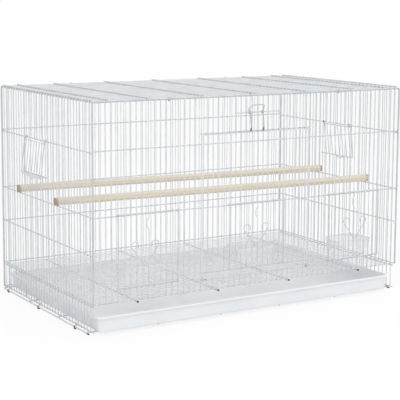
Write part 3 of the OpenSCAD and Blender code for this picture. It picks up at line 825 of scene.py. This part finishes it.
@dataclass
class WireBody:
    """The welded panels, the roof and the base: straight wires and their welds."""

    left_nest_bar: int = 16
    right_nest_bar: int = 12
    nest_gaps: int = 8
    nest_sill_z: float = 286.0
    latch_bars: int = 4
    post_in: float = 1.6
    post_weld: Point = (1.4, 1.3, 1.8)
    roof_weld: Point = (2.2, 1.9, 1.2)
    base_weld: Point = (1.8, 1.8, 0.9)
    ribs_x: tuple[float, ...] = (0.0, 128.0, 256.0, 345.0, 379.4)
    grate_runner_z: float = 57.15
    skids_x: tuple[float, ...] = (75.0, 225.0, 382.5)
    long_wires_in: tuple[float, ...] = (23.5, 160.5)
    long_wires_back: tuple[float, ...] = (147.5, 7.5)
    kept: tuple[str, ...] = (
        "front_upright_wires", "front_cross_wires", "back_cross_wires",
        "left_upright_wires", "left_cross_wires", "right_upright_wires", "right_cross_wires",
        "roof_wires", "roof_ribs", "base_long_wires", "grate_runners",
        "door_hinge_wire", "latch_hinge_wire",
    )

    def front_rows(self) -> list[Row]:
        """Where the front bars cross the rails behind them and the two hinge wires before them."""
        steps, radius = CAGE.bars, CAGE.bar_d / 2
        behind, before = CAGE.front_y + radius, CAGE.front_y - radius
        door = CAGE.bar_x(steps[np.abs(steps) <= CAGE.door_bars])
        beside_door = CAGE.bar_x(steps[np.abs(steps) >= CAGE.door_bars])
        sill = both(steps[np.abs(steps - CAGE.feeder_middle) <= CAGE.feeder_bars])
        return [
            (CAGE.bar_x(steps), behind, [CAGE.top_z, CAGE.floor_z]),
            (beside_door, behind, [CAGE.long_upper_z, CAGE.middle_z]),
            (door, behind, CAGE.head_z),
            (CAGE.bar_x(sill), behind, CAGE.sill_z),
            (door, before, CAGE.hinge_z),
            (CAGE.bar_x(steps[np.abs(steps) <= self.latch_bars]), before, CAGE.latch_z),
        ]

    def side_rows(self, side: Side, nest_bar: int) -> list[Row]:
        """Where one side's bars cross its rails, its nest sill and its grate runner.

        Args:
            side: Which side.
            nest_bar: The bar at the front of its nest opening.

        Returns:
            Places along X, Y and Z.
        """
        rails = [CAGE.top_z, CAGE.side_upper_z, CAGE.middle_z, CAGE.lower_z, CAGE.floor_z, CAGE.foot_z]
        x, y = side.value * (CAGE.half_w - CAGE.bar_d / 2), CAGE.side_bars_y
        sill = CAGE.bar_y(np.arange(nest_bar, nest_bar + self.nest_gaps + 1))
        return [(x, y, rails), (x, y, self.grate_runner_z), (x, sill, self.nest_sill_z)]

    def weld_rows(self) -> dict[str, tuple[Point, list[Row]]]:
        """Half size of the welds, and where they lie, by the name of their piece."""
        radius, y, roof = CAGE.bar_d / 2, CAGE.side_bars_y, CAGE.roof_wire_z
        rails = [CAGE.top_z, CAGE.long_upper_z, CAGE.middle_z, CAGE.lower_z, CAGE.floor_z, CAGE.foot_z]
        near_post = [CAGE.top_z, CAGE.long_upper_z, CAGE.side_upper_z, CAGE.middle_z, CAGE.floor_z]
        far_post = near_post + [CAGE.lower_z, CAGE.foot_z]
        ends, side_rail = both([CAGE.rail_end]), both([CAGE.half_w - CAGE.rail_in])
        inner_ribs, outer_rib = np.unique(both(self.ribs_x[:-1])), both([self.ribs_x[-1]])
        base_y = np.concatenate(
            [CAGE.front_y + np.array(self.long_wires_in), CAGE.back_y - np.array(self.long_wires_back)]
        )
        return {
            "front_welds": (FRONT_WELD, self.front_rows()),
            "back_welds": (FRONT_WELD, [(CAGE.bar_x(CAGE.bars), CAGE.back_y - radius, rails)]),
            "left_welds": (SIDE_WELD, self.side_rows(Side.LEFT, self.left_nest_bar)),
            "right_welds": (SIDE_WELD, self.side_rows(Side.RIGHT, self.right_nest_bar)),
            "post_welds": (self.post_weld, [
                (ends, CAGE.front_y + self.post_in, near_post), (ends, CAGE.back_y - self.post_in, far_post),
            ]),
            "roof_welds": (self.roof_weld, [(inner_ribs, y, roof + radius)]),
            "roof_edge_welds": (THIN_WELD, [(outer_rib, y, roof + radius), (side_rail, y, roof - radius)]),
            "base_welds": (self.base_weld, [
                (both(self.skids_x), base_y, (CAGE.long_wire_z + CAGE.skid_z) / 2),
                (side_rail, base_y, (CAGE.long_wire_z + CAGE.foot_z) / 2),
            ]),
        }

    def build(self, finishes: Finishes) -> None:
        """Finishes the kept wires and adds the welds."""
        coat_nodes(self.kept, finishes.wire)
        # The back bars take the copy of the coat that is painted lighter.
        coat_nodes(["back_upright_wires"], finishes.painted_light_back)
        # The corner posts take the copy of the coat that is painted darker.
        coat_nodes(["corner_posts"], finishes.post)
        coat_nodes(["base_skids"], finishes.skid)
        for name, (half, rows) in self.weld_rows().items():
            # The weld nuggets take the darker copies of the coat that paint shade at the crossings.
            finish = finishes.roof_weld if name == "roof_welds" else finishes.weld
            welds(half, *rows).piece(name, finish, "cage")


@dataclass
class SmallWires:
    """The bent and wound wires on the body: feet, roof hook, roof clips and wound sleeves."""

    foot_bars: tuple[int, ...] = (5, 18, 30)
    foot_out: float = 9.0
    foot_h: float = 14.0
    curl_h: float = 8.0
    foot_weld: Point = (0.8, 1.4, 2.6)
    # Dark stretch at the left feet's ends: bare steel at the cut and painted shade under the foot.
    bare_and_shaded_left: float = 9.0
    bare_right: float = 1.2
    hook_x: float = -16.0
    hook_drop: float = 15.0
    hook_in: float = 4.0
    hook_tip: tuple[float, float] = (1.5, 3.0)
    # Dark stretch at the hook's end over the roof: the cut end and painted shade in the curl.
    hook_shaded_end: float = 6.0
    clip_gaps: float = 15.5
    clip_r: float = 3.656
    clip_d: float = 1.8
    clip_open: float = 0.9
    clip_turns: float = 0.95
    clip_shift: float = 1.0
    sleeve_wire_d: float = 1.1
    sleeve_h: float = 12.0
    sleeve_gap: float = 0.08
    sleeves: tuple[tuple[int, float], ...] = ((24, 10.0), (1, 21.0))

    def feet(self) -> Surface:
        """Curled feet beside the side bars: down, out, down to the ground and back in."""
        x = CAGE.half_w + CAGE.rail_in
        far = CAGE.half_w + self.foot_out
        low = CAGE.rail_d / 2
        parts = []
        for side in Side:
            # On the left the feet's ends are marked dark over a longer stretch: a cut end of bare steel and
            # painted shade under the foot; on the right only the cut end.
            bare = self.bare_and_shaded_left if side is Side.LEFT else self.bare_right
            for bar in self.foot_bars:
                y = float(CAGE.bar_y(bar))
                corners = [
                    (x, y, self.foot_h), (x, y, self.curl_h), (far, y, self.curl_h), (far, y, low),
                    (CAGE.half_w + CAGE.base_d + CAGE.rail_d, y, low),
                ]
                path = bent(corners, [2.2, 2.6, 2.6]) * np.array([side.value, 1.0, 1.0])
                weld = (side.value * (CAGE.half_w + CAGE.bar_d / 2), y, (self.foot_h + self.curl_h) / 2)
                parts += [tube(path, CAGE.rail_d / 2, bare_ends=(0.0, bare)), welds(self.foot_weld, weld)]
        return Surface.joined(parts)

    def roof_hook(self) -> Surface:
        """A wire that hangs in front of the top rail and turns over it onto the roof."""
        x, y, far = self.hook_x, CAGE.front_y - CAGE.bar_d - CAGE.seat, CAGE.front_y + self.hook_in
        z = CAGE.roof_wire_z + CAGE.bar_d - CAGE.sink
        tip = (x, far + self.hook_tip[0], z - self.hook_tip[1])
        path = bent([(x, y, z - self.hook_drop), (x, y, z), (x, far, z), tip], 1.3)
        # The end over the roof is marked dark: bare steel at the cut and painted shade in the curl.
        return tube(path, CAGE.bar_d / 2, bare_ends=(0.0, self.hook_shaded_end))

    def roof_clips(self) -> Surface:
        """Rings squeezed round the top rail and the roof's edge wire, open by a hair at the foot."""
        x = float(CAGE.bar_x(self.clip_gaps))
        z = (CAGE.top_z + CAGE.roof_wire_z) / 2
        start, up = (0.0, self.clip_open, -self.clip_r), (0.0, self.clip_r, self.clip_open)
        parts = []
        for side in Side:
            for y in (CAGE.front_y + CAGE.rail_in / 2, CAGE.back_y - CAGE.rail_in / 2):
                centre, pitch = (side.value * x - self.clip_shift / 2, y, z), (self.clip_shift, 0.0, 0.0)
                path = coil(centre, start, up, self.clip_turns, pitch, 26)
                middle = np.array([y, z])
                path[:, 1:] = unit(path[:, 1:] - middle) * self.clip_r + middle
                parts.append(tube(path, self.clip_d / 2, bare_ends=(0.6, 0.6)))
        return Surface.joined(parts)

    def wound_sleeves(self) -> Surface:
        """Thin wire wound closely round two bars of the left side."""
        wire_d = self.sleeve_wire_d
        radius = CAGE.bar_d / 2 + self.sleeve_gap + wire_d / 2
        turns = self.sleeve_h / wire_d - 1
        parts = []
        for bar, low in self.sleeves:
            centre = (-CAGE.half_w, float(CAGE.bar_y(bar)), low + wire_d / 2)
            path = coil(centre, (0.0, -radius, 0.0), (radius, 0.0, 0.0), turns, (0.0, 0.0, wire_d), 14)
            parts.append(tube(path, wire_d / 2, 8, (0.5, 0.5)))
        return Surface.joined(parts)

    def build(self, finishes: Finishes) -> None:
        """Makes the four groups and lets them stand for their solids."""
        for node, surface in {
            "feet": self.feet(),
            "roof_hook": self.roof_hook(),
            "roof_clips": self.roof_clips(),
            "side_sleeves": self.wound_sleeves(),
        }.items():
            made = surface.piece("bent_" + node, finishes.wire, "cage")
            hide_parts(node)


@dataclass
class FrontDoor:
    """The hinged front door: a bent frame coiled round its hinge wire, bars and a bent bar."""

    bend_r: float = 5.0
    leg_bend_r: float = 20.0
    foot_rise: float = 1.2
    knee_rise: float = 10.0
    weld_in: float = 1.6
    frame_weld: Point = (1.2, 1.4, 1.7)
    turns: float = 1.6
    bent_left: int = -9
    bent_gaps: int = 3

    def frame_wire(self) -> Surface:
        """One wire: coil, leg, top, leg, coil. Each coil turns round the hinge wire inwards."""
        x, y = CAGE.door_half_w, CAGE.front_y
        back, around = CAGE.outer_y + CAGE.beside, CAGE.beside
        low, knee = CAGE.hinge_z + self.foot_rise, CAGE.hinge_z + self.knee_rise
        half = [(-x, back, low), (-x, y, knee), (-x, y, CAGE.door_top_z)]
        corners = half + [(-px, py, pz) for px, py, pz in half[::-1]]
        legs = bent(corners, [self.leg_bend_r, self.bend_r, self.bend_r, self.leg_bend_r], 8)
        centre = (-x, CAGE.outer_y, CAGE.hinge_z)
        left = coil(centre, (0.0, around, 0.0), (0.0, 0.0, -around), self.turns, (CAGE.coil_pitch, 0.0, 0.0))
        return tube(np.vstack([left[::-1], legs, left * MIRROR]), CAGE.rail_d / 2, 12, (1.0, 1.0))

    def bent_bar(self) -> Surface:
        """Two of the door's bars, made as one wire that goes over the top of the frame."""
        left = float(CAGE.bar_x(self.bent_left))
        right = float(CAGE.bar_x(self.bent_left + self.bent_gaps))
        top = CAGE.door_top_z + (CAGE.rail_d + CAGE.bar_d) / 2 + CAGE.sink
        low, y = CAGE.door_low_z - CAGE.rail_d / 2, CAGE.outer_y
        corners = [(left, y, low), (left, y, top), (right, y, top), (right, y, low)]
        return tube(bent(corners, self.bend_r, 10), CAGE.bar_d / 2)

    def door_welds(self) -> Surface:
        """Welds of the door's bars and cross wires, and of the cross wires to the frame."""
        steps = CAGE.bars[np.abs(CAGE.bars) < CAGE.door_bars]
        outer = steps[np.abs(steps) >= CAGE.feeder_bars]
        y, leg_x = CAGE.outer_y + CAGE.bar_d / 2, CAGE.door_half_w - self.weld_in
        joints = welds(
            FRONT_WELD,
            (CAGE.bar_x(outer), y, CAGE.door_low_z),
            (CAGE.bar_x(steps), y, [CAGE.middle_z, CAGE.long_upper_z, CAGE.door_top_z]),
        )
        heights = [CAGE.door_low_z, CAGE.middle_z, CAGE.long_upper_z]
        return Surface.joined([joints, welds(self.frame_weld, ([-leg_x, leg_x], CAGE.front_y, heights))])

    def build(self, finishes: Finishes) -> None:
        """Makes the frame, the bent bar and the welds, and coats the straight wires."""
        coat_nodes(["front_door_cross_wires", "front_door_upright_wires"], finishes.wire)
        # The door frame takes the copy of the coat that is painted lighter.
        made = self.frame_wire().piece("coiled_door_frame", finishes.door_frame, "front_door")
        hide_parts("front_door_frame")
        made = self.bent_bar().piece("door_bent_bar", finishes.wire, "front_door")
        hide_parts("front_door_bent_bar")
        self.door_welds().piece("front_door_welds", finishes.door_frame, "front_door")


@dataclass
class DoorLatch:
    """The drop latch over the front door: two hooked legs, two coils and a raised handle."""

    middle_x: float = -4.4
    leg_x: float = 15.6
    leg_out: float = 3.0
    tip_out: float = 1.0
    tip_z: float = 387.9
    leg_bend: float = 8.0
    handle_out: float = 11.0
    handle_rise: float = 16.0
    handle_bulge: float = 9.0
    handle_draw: float = 3.0
    handle_start: float = 2.2
    straight: float = 6.0
    tip_bare: float = 7.0
    tip_length: float = 8.0
    tip_swell: float = 0.18
    tip_tone: float = 0.62

    def leg(self, side: Side) -> np.ndarray:
        """Path of one leg from its tip up and once round the latch wire, towards the left."""
        x, z, around = side.value * self.leg_x, CAGE.latch_z, CAGE.beside
        y = CAGE.outer_y - around
        knee = (x, y - self.leg_out, self.tip_z + self.leg_bend)
        corners = [(x, y - self.tip_out, self.tip_z), knee, (x, y, z - self.straight), (x, y, z)]
        centre, pitch = (x, CAGE.outer_y, z), (-CAGE.coil_pitch, 0.0, 0.0)
        wound = coil(centre, (0.0, -around, 0.0), (0.0, 0.0, around), 1.0, pitch)
        return np.vstack([bent(corners, [10.0, 12.0])[:-1], wound])

    def wire(self) -> Surface:
        """The whole latch: right leg, handle and left leg, with thick dark tips."""
        right, left = self.leg(Side.RIGHT), self.leg(Side.LEFT)[::-1]
        y, out = CAGE.outer_y - CAGE.beside, CAGE.outer_y - self.handle_out
        middle, halfway = (y + out) / 2, CAGE.latch_z + self.handle_rise / 2
        high = CAGE.latch_z + self.handle_rise
        corners = [
            tuple(right[-1]), (self.leg_x - self.handle_start, middle, halfway),
            (self.leg_x - self.handle_draw, out, high), (-self.leg_x, out, high),
            (-self.leg_x - self.handle_bulge, middle, halfway), tuple(left[0]),
        ]
        path = np.vstack([right, bent(corners, [6.0, 3.5, 3.5, 4.0])[1:-1], left])
        run = run_along(path)
        tip = np.clip(1 - np.minimum(run, run[-1] - run) / self.tip_length, 0, 1)
        radius = CAGE.rail_d / 2 * (1 + self.tip_swell * tip**0.5)
        latch = tube(path, radius, 12, (self.tip_bare, self.tip_bare))
        latch.mark *= self.tip_tone
        return latch.moved((self.middle_x, 0.0, 0.0))

    def build(self, finishes: Finishes) -> None:
        """Makes the latch in place of its solid."""
        made = self.wire().piece("coiled_door_latch", finishes.latch, "door_latch")
        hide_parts("door_latch")


@dataclass
class FeederDoor:
    """A small grille that slides up two bars, hung on wire ends looped round them."""

    body: str
    middle_x: float
    plane_y: float
    low_rail_z: float
    lift: float = 2.55
    away: float = CAGE.bar_d / 2 + CAGE.seat + CAGE.rail_d / 2
    loop_turns: float = 0.68
    loop_radii: tuple[float, float] = (1.05, 1.0)
    weld: Point = (1.6, 1.2, 1.6)
    bow_h: float = 24.0
    bow_out: float = 4.5
    bow_drop: float = 10.0

    def cross_wire(self, z: float) -> Surface:
        """A wire along the grille whose ends curl behind the two bars.

        Args:
            z: Its height.

        Returns:
            The wire.
        """
        half = float(CAGE.bar_x(CAGE.feeder_bars))
        start, up = (0.0, -self.away, 0.0), (self.away, 0.0, 0.0)
        loop = coil((half, 0.0, z), start, up, self.loop_turns, (0.0, 0.0, 0.0))
        path = np.vstack([(loop * MIRROR)[::-1], loop])
        size = np.where(np.abs(path[:, 0]) > half + CAGE.bar_d / 2, self.loop_radii[0], CAGE.rail_d / 2)
        size[path[:, 1] > 0.0] = self.loop_radii[1]
        return tube(path, size, 10, (0.8, 0.8))

    def bow(self, low: float, high: float) -> Surface:
        """The middle wire, bowed to the side as a finger grip.

        Args:
            low: Height of the lower cross wire.
            high: Height of the upper one.

        Returns:
            The wire.
        """
        x, y, top = -self.bow_out, -self.away, high - self.bow_drop
        foot, lean = top - self.bow_h, self.bow_h / 4
        side = [(0.0, y, foot), (x, y, foot + lean), (x, y, top - lean), (0.0, y, top)]
        return tube(bent([(0.0, y, low), *side, (0.0, y, high)], 6.0), CAGE.bar_d / 2)

    def build(self, finishes: Finishes) -> None:
        """Makes the grille in place of its solid."""
        low, high = self.low_rail_z + self.lift, CAGE.middle_z + self.lift
        y, place = -self.away, (self.middle_x, self.plane_y, 0.0)
        steps = [step for step in range(-CAGE.feeder_bars, CAGE.feeder_bars + 1) if step != 0]
        ends = [np.array([[CAGE.bar_x(step), y, low], [CAGE.bar_x(step), y, high]]) for step in steps]
        bars = [tube(path, CAGE.bar_d / 2) for path in ends]
        grille = Surface.joined([self.cross_wire(low), self.cross_wire(high), self.bow(low, high), *bars])
        made = grille.moved(place).piece(self.body + "_grille", finishes.wire, self.body)
        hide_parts(self.body)
        joints = welds(self.weld, (CAGE.bar_x(np.array(steps + [0])), y, [low, high]))
        joints.moved(place).piece(self.body + "_welds", finishes.weld, self.body)


@dataclass
class NestDoor:
    """A flap over a nest opening, hung by two coils, leaning out, with a shallow V as its catch."""

    body: str
    side: Side
    first_bar: int
    gaps: int = 8
    side_gap: float = 3.6
    height: float = 79.0
    lean_deg: float = 6.2
    turns: float = 1.4
    catch_w: float = 34.0
    catch_h: float = 6.0
    cross_drop: float = 5.0
    weld: Point = (1.2, 1.5, 1.15)

    def build(self, finishes: Finishes) -> None:
        """Makes the flap in place of its solid, then leans it out and puts it on its side."""
        near = float(CAGE.bar_y(self.first_bar)) + self.side_gap
        far = float(CAGE.bar_y(self.first_bar + self.gaps)) - self.side_gap
        middle, x, half = (near + far) / 2, CAGE.beside, self.catch_w / 2
        foot, cross = -self.height, -self.cross_drop
        catch = [(x, middle - half, foot), (x, middle, foot - self.catch_h), (x, middle + half, foot)]
        corners = [(x, near, 0.0), (x, near, foot), *catch, (x, far, foot), (x, far, 0.0)]
        pitch, round_in = CAGE.coil_pitch, ((x, 0.0, 0.0), (0.0, 0.0, x), self.turns)
        near_coil = coil((0.0, near, 0.0), *round_in, (0.0, pitch, 0.0))
        far_coil = coil((0.0, far, 0.0), *round_in, (0.0, -pitch, 0.0))
        edge = bent(corners, [3.5, 5.0, 4.0, 5.0, 3.5])[1:-1]
        path = np.vstack([near_coil[::-1], edge, far_coil])
        bars_y = CAGE.bar_y(np.arange(self.first_bar + 1, self.first_bar + self.gaps))
        ends = foot - self.catch_h * np.clip(1 - np.abs(bars_y - middle) / half, 0, None)
        straight = [[[x, near, cross], [x, far, cross]]]
        straight += [[[x, y, end], [x, y, cross]] for y, end in zip(bars_y.tolist(), ends.tolist())]
        wires = [tube(path, CAGE.rail_d / 2, 12, (1.0, 1.0))]
        wires += [tube(np.array(line), CAGE.bar_d / 2) for line in straight]
        joints = np.vstack([
            crossings(x, np.concatenate([bars_y, [near, far]]), cross),
            np.stack([np.full_like(bars_y, x), bars_y, ends], axis=-1),
        ])
        lean = math.radians(self.lean_deg)
        turn = np.array(
            [[math.cos(lean), 0.0, -math.sin(lean)], [0.0, 1.0, 0.0], [math.sin(lean), 0.0, math.cos(lean)]]
        )
        turn = np.diag([self.side.value, 1.0, 1.0]) @ turn
        place = (self.side.value * (CAGE.half_w - CAGE.rail_in), 0.0, CAGE.side_upper_z)
        made = Surface.joined(wires).moved(place, turn).piece(self.body + "_flap", finishes.wire, self.body)
        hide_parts(self.body)
        nuggets(joints, self.weld).moved(place, turn).piece(self.body + "_welds", finishes.weld, self.body)


@dataclass
class FloorGrate:
    """The sliding floor grate: thin wires welded on four round rods."""

    rods_x: tuple[float, ...] = (90.0, 280.0)

    def build(self, finishes: Finishes) -> None:
        """Coats the wires and rods and adds their welds."""
        coat_nodes(["grate_wires"], finishes.grate)
        coat_nodes(["grate_rods"], finishes.rod)
        joints = welds(THIN_WELD, (both(self.rods_x), CAGE.side_bars_y, CAGE.grate_wire_z - CAGE.bar_d / 2))
        joints.piece("grate_welds", finishes.grate, "floor_grate")


@dataclass
class Tray:
    """The pull-out tray: sloping walls, filleted floor and a turned-down rim."""

    middle: tuple[float, float] = (-6.0, -1.7528)
    size: tuple[float, float] = (736.0, 455.5)
    corner_r: float = 14.0
    low_z: float = 5.95
    top_z: float = 39.0
    skirt: float = 4.5

    def build(self, finishes: Finishes) -> None:
        """Carries the section round the tray, in place of its solid."""
        low, top, lip = self.low_z, self.top_z, self.top_z - self.skirt
        profile = [
            (30.0, low), (12.0, low), (9.6, low), (8.0, low + 0.3), (7.0, low + 1.0), (6.45, low + 2.2),
            (6.2, low + 4.0), (3.6, lip - 1.6), (3.1, lip), (2.2, lip), (0.7, lip), (0.2, lip + 0.2),
            (0.0, lip + 0.7), (0.0, top - 1.4), (0.1, top - 0.8), (0.4, top - 0.35), (0.9, top - 0.08),
            (1.5, top), (3.6, top), (4.1, top - 0.12), (4.4, top - 0.5), (4.6, top - 1.2), (7.7, 14.0),
            (8.2, 11.4), (9.2, 9.5), (10.6, 8.4), (12.4, 7.98), (14.5, 7.95), (40.0, 7.95),
        ]
        surface = basin(self.middle, self.size, (self.corner_r,) * 4, profile, 10)
        made = surface.piece("moulded_tray", finishes.tray, "tray", "tray_plastic")
        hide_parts("tray")


@dataclass
class SeedCup:
    """A D-shaped seed cup that stands behind a feeder door, with its bent wire hanger."""

    name: str
    middle_x: float
    plane_y: float
    low_rail_z: float
    size: tuple[float, float] = (92.0, 68.0)
    height: float = 38.5
    back_r: float = 34.0
    front_r: float = 3.0
    gap: float = 1.3
    rim_band: float = 4.3
    loop_spread: float = 46.0
    loop_r: float = 8.0
    loop_rise: float = 42.5
    loop_deg: tuple[float, float] = (-20.0, 200.0)
    rim_in: float = 1.0

    @property
    def low(self) -> float:
        """Height of the cup's underside, on the feeder's lower rail."""
        return self.low_rail_z + CAGE.rail_d / 2 + CAGE.seat

    def cup(self) -> Surface:
        """The cup: a thicker band at the rim, upright walls and a filleted floor."""
        low, top = self.low, self.low + self.height
        profile = [
            (24.0, low), (6.0, low), (3.6, low + 0.15), (1.8, low + 0.9), (0.9, low + 2.2), (0.6, low + 4.0),
            (0.5, top - 5.2), (0.35, top - 4.6), (0.05, top - 4.1), (0.0, top - 3.4), (0.0, top - 0.9),
            (0.15, top - 0.35), (0.55, top), (1.45, top), (1.85, top - 0.35), (2.0, top - 0.9),
            (2.1, low + 9.0), (2.7, low + 6.0), (4.2, low + 3.7), (6.6, low + 2.4), (9.6, low + 2.0),
            (26.0, low + 2.0),
        ]
        middle = (self.middle_x, self.plane_y + self.gap + self.size[1] / 2)
        shell = basin(middle, self.size, (self.back_r, self.back_r, self.front_r, self.front_r), profile, 12)
        shell.mark = (shell.points[:, 2] > top - self.rim_band).astype(float)
        return shell

    def hanger(self) -> Surface:
        """One wire: a loop, down to the rim in a V, and a second loop; loop = c + r (cos a, sin a)."""
        angle = np.radians(np.linspace(*self.loop_deg, 19))
        across = self.loop_spread / 2 + self.loop_r * np.cos(angle)
        loop = np.stack([across, 0 * angle, self.loop_rise + self.loop_r * np.sin(angle)], axis=-1)
        mirrored = (loop * MIRROR)[::-1]
        foot = bent([tuple(mirrored[-1]), (0.0, 0.0, CAGE.bar_d / 2 - CAGE.sink), tuple(loop[0])], 2.0, 8)
        wire = tube(np.vstack([mirrored, foot[1:-1], loop]), CAGE.bar_d / 2, bare_ends=(1.0, 1.0))
        return wire.moved((self.middle_x, self.plane_y + self.gap + self.rim_in, self.low + self.height))

    def build(self, finishes: Finishes) -> None:
        """Makes the cup and the hanger in place of their solids."""
        body = self.name + "_cup"
        made = self.cup().piece("moulded_" + body, finishes.cup, body, "cup_plastic")
        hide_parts(self.name + "_seed_cup")
        made = self.hanger().piece("bent_" + self.name + "_hanger", finishes.wire, body)
        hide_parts(self.name + "_cup_hanger")


@dataclass
class Perch:
    """A wooden dowel with slit ends that grip a bar on each side."""

    node: str
    left_bar: int
    right_bar: int
    out: float = 4.5

    def build(self) -> None:
        """Gives the dowel its wood, with the grain along its own axis."""
        near, far = float(CAGE.bar_y(self.left_bar)), float(CAGE.bar_y(self.right_bar))
        turn = math.atan2(far - near, 2 * CAGE.half_w)
        half_length = CAGE.half_w / math.cos(turn) + self.out
        coat_nodes([self.node], PerchWood(self.node + " wood", turn, (near + far) / 2, half_length).make())


# ---- Stage ----


@dataclass
class Studio:
    """The pale floor, the lamps and the camera of the photograph."""

    azimuth_deg: float = -31.327
    elevation_deg: float = 7.5
    roll_deg: float = 0.304
    distance_mm: float = 2691.6
    target_mm: Point = (0.0, 5.5, 311.86)
    focal_px: float = 1196.4
    principal_px: tuple[float, float] = (200.17, 153.73)
    image_px: float = 400.0
    sensor_mm: float = 36.0
    floor_r: float = 6.0
    floor_glow: float = 0.85
    world_light: float = 0.74
    floor_drop: float = 0.0005
    aim: Point = (0.0, 0.0, 0.25)

    @staticmethod
    def place(name: str, data: bpy.types.ID) -> bpy.types.Object:
        """Puts a new object with the given data in the scene and returns it."""
        made = bpy.data.objects.new(name, data)
        bpy.context.scene.collection.objects.link(made)
        return made

    def camera(self) -> None:
        """Places the camera on the fitted sphere round its target, with the photo's lens and shift."""
        azimuth, elevation = math.radians(self.azimuth_deg), math.radians(self.elevation_deg)
        ahead, aside = math.cos(azimuth) * math.cos(elevation), math.sin(azimuth) * math.cos(elevation)
        out = Vector((aside, -ahead, math.sin(elevation)))
        data = bpy.data.cameras.new("camera")
        data.sensor_width = self.sensor_mm
        data.lens = self.focal_px / self.image_px * self.sensor_mm
        data.shift_x = -(self.principal_px[0] - self.image_px / 2) / self.image_px
        data.shift_y = (self.principal_px[1] - self.image_px / 2) / self.image_px
        data.clip_end = 100.0
        camera = self.place("camera", data)
        turn = (-out).to_track_quat("-Z", "Y").to_matrix().to_4x4()
        roll = Matrix.Rotation(math.radians(self.roll_deg), 4, "Z")
        target = Vector(self.target_mm) * MM
        camera.matrix_world = Matrix.Translation(target + out * self.distance_mm * MM) @ turn @ roll
        bpy.context.scene.camera = camera

    def whiten(self, graph: Graph, kind: NodeKind, lit: Socket, share: float, output: str) -> None:
        """Mixes white into what camera, glossy and transmission rays see; other rays see none of it.

        Args:
            graph: The graph of the floor or of the world.
            kind: The node that gives the white.
            lit: The shader that the other rays see.
            share: How much white is mixed in.
            output: Name of the graph's output node.
        """
        rays = graph.add(NodeKind.LIGHT_PATH).outputs
        seen = graph.maths("MAXIMUM", rays["Is Camera Ray"], rays["Is Glossy Ray"])
        seen = graph.maths("MULTIPLY", graph.maths("MAXIMUM", seen, rays["Is Transmission Ray"]), share)
        white = graph.add(kind, {"Color": WHITE}).outputs[0]
        mix = graph.add(NodeKind.MIX_SHADER, {0: seen, 1: lit, 2: white}).outputs[0]
        graph.fill(graph.tree.nodes[output], {"Surface": mix})

    def floor(self) -> None:
        """Lays a round pale floor that looks white to the camera but keeps the shadow."""
        turns = np.linspace(0, 2 * np.pi, 97)[:-1]
        rim = np.stack([np.cos(turns), np.sin(turns), np.zeros_like(turns)], axis=1) * self.floor_r
        mesh = bpy.data.meshes.new("floor")
        mesh.from_pydata(rim.tolist(), [], [tuple(range(len(rim)))])
        material, graph, shader = new_material("pale floor")
        graph.fill(shader, {"Base Color": (0.9, 0.9, 0.9, 1.0), "Roughness": 0.8})
        self.whiten(graph, NodeKind.EMISSION, shader.outputs[0], self.floor_glow, "Material Output")
        mesh.materials.append(material)
        ground = self.place("floor", mesh)
        ground.location.z = -self.floor_drop

    def world(self) -> None:
        """White surroundings for the eye, and a dimmer even light for the object."""
        world = bpy.data.worlds.new("studio")
        bpy.context.scene.world = world
        world.use_nodes = True
        graph = Graph(world.node_tree)
        base = graph.tree.nodes["Background"]
        graph.fill(base, {"Color": WHITE, "Strength": self.world_light})
        self.whiten(graph, NodeKind.BACKGROUND, base.outputs[0], 1.0, "World Output")

    def lamp(self, name: str, place: Point, size: float, power: float) -> None:
        """Hangs one soft square lamp that points at the cage.

        Args:
            name: The lamp's name.
            place: Where it hangs, in metres.
            size: Length of its sides.
            power: Its power in watts.
        """
        data = bpy.data.lights.new(name, "AREA")
        data.size = size
        data.energy = power
        lamp = self.place(name, data)
        lamp.location = place
        lamp.rotation_euler = (Vector(self.aim) - lamp.location).to_track_quat("-Z", "Y").to_euler()

    def build(self) -> None:
        """Sets up the camera, the floor and the lights."""
        self.camera()
        self.floor()
        self.world()
        self.lamp("key", (-1.6, -2.2, 2.6), 2.0, 34.0)
        self.lamp("fill", (2.6, -1.6, 1.6), 2.0, 16.0)
        self.lamp("top", (0.3, 0.6, 2.8), 2.4, 12.0)
        bpy.context.scene.view_settings.view_transform = "Standard"


def main() -> None:
    """Builds the stage and the cage's sub-assemblies in order."""
    logging.basicConfig(level=logging.INFO, format="%(message)s")
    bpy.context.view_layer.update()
    Studio().build()
    finishes = Finishes()
    feeder_x, aside = float(CAGE.bar_x(CAGE.feeder_middle)), 6.0
    WireBody().build(finishes)
    SmallWires().build(finishes)
    FrontDoor().build(finishes)
    DoorLatch().build(finishes)
    for name, door_x, cup_x, plane_y, rail_z in (
        ("left", -feeder_x, -feeder_x - aside, CAGE.front_y, CAGE.sill_z),
        ("centre", 0.0, 0.0, CAGE.outer_y, CAGE.door_low_z),
        ("right", feeder_x, feeder_x + aside, CAGE.front_y, CAGE.sill_z),
    ):
        FeederDoor(name + "_feeder_door", door_x, plane_y, rail_z).build(finishes)
        SeedCup(name, cup_x, plane_y, rail_z).build(finishes)
    NestDoor("left_nest_door", Side.LEFT, WireBody.left_nest_bar).build(finishes)
    NestDoor("right_nest_door", Side.RIGHT, WireBody.right_nest_bar).build(finishes)
    FloorGrate().build(finishes)
    Tray().build(finishes)
    Perch("rear_perch", 26, 21).build()
    Perch("front_perch", 12, 8).build()


if __name__ == "__main__":
    main()
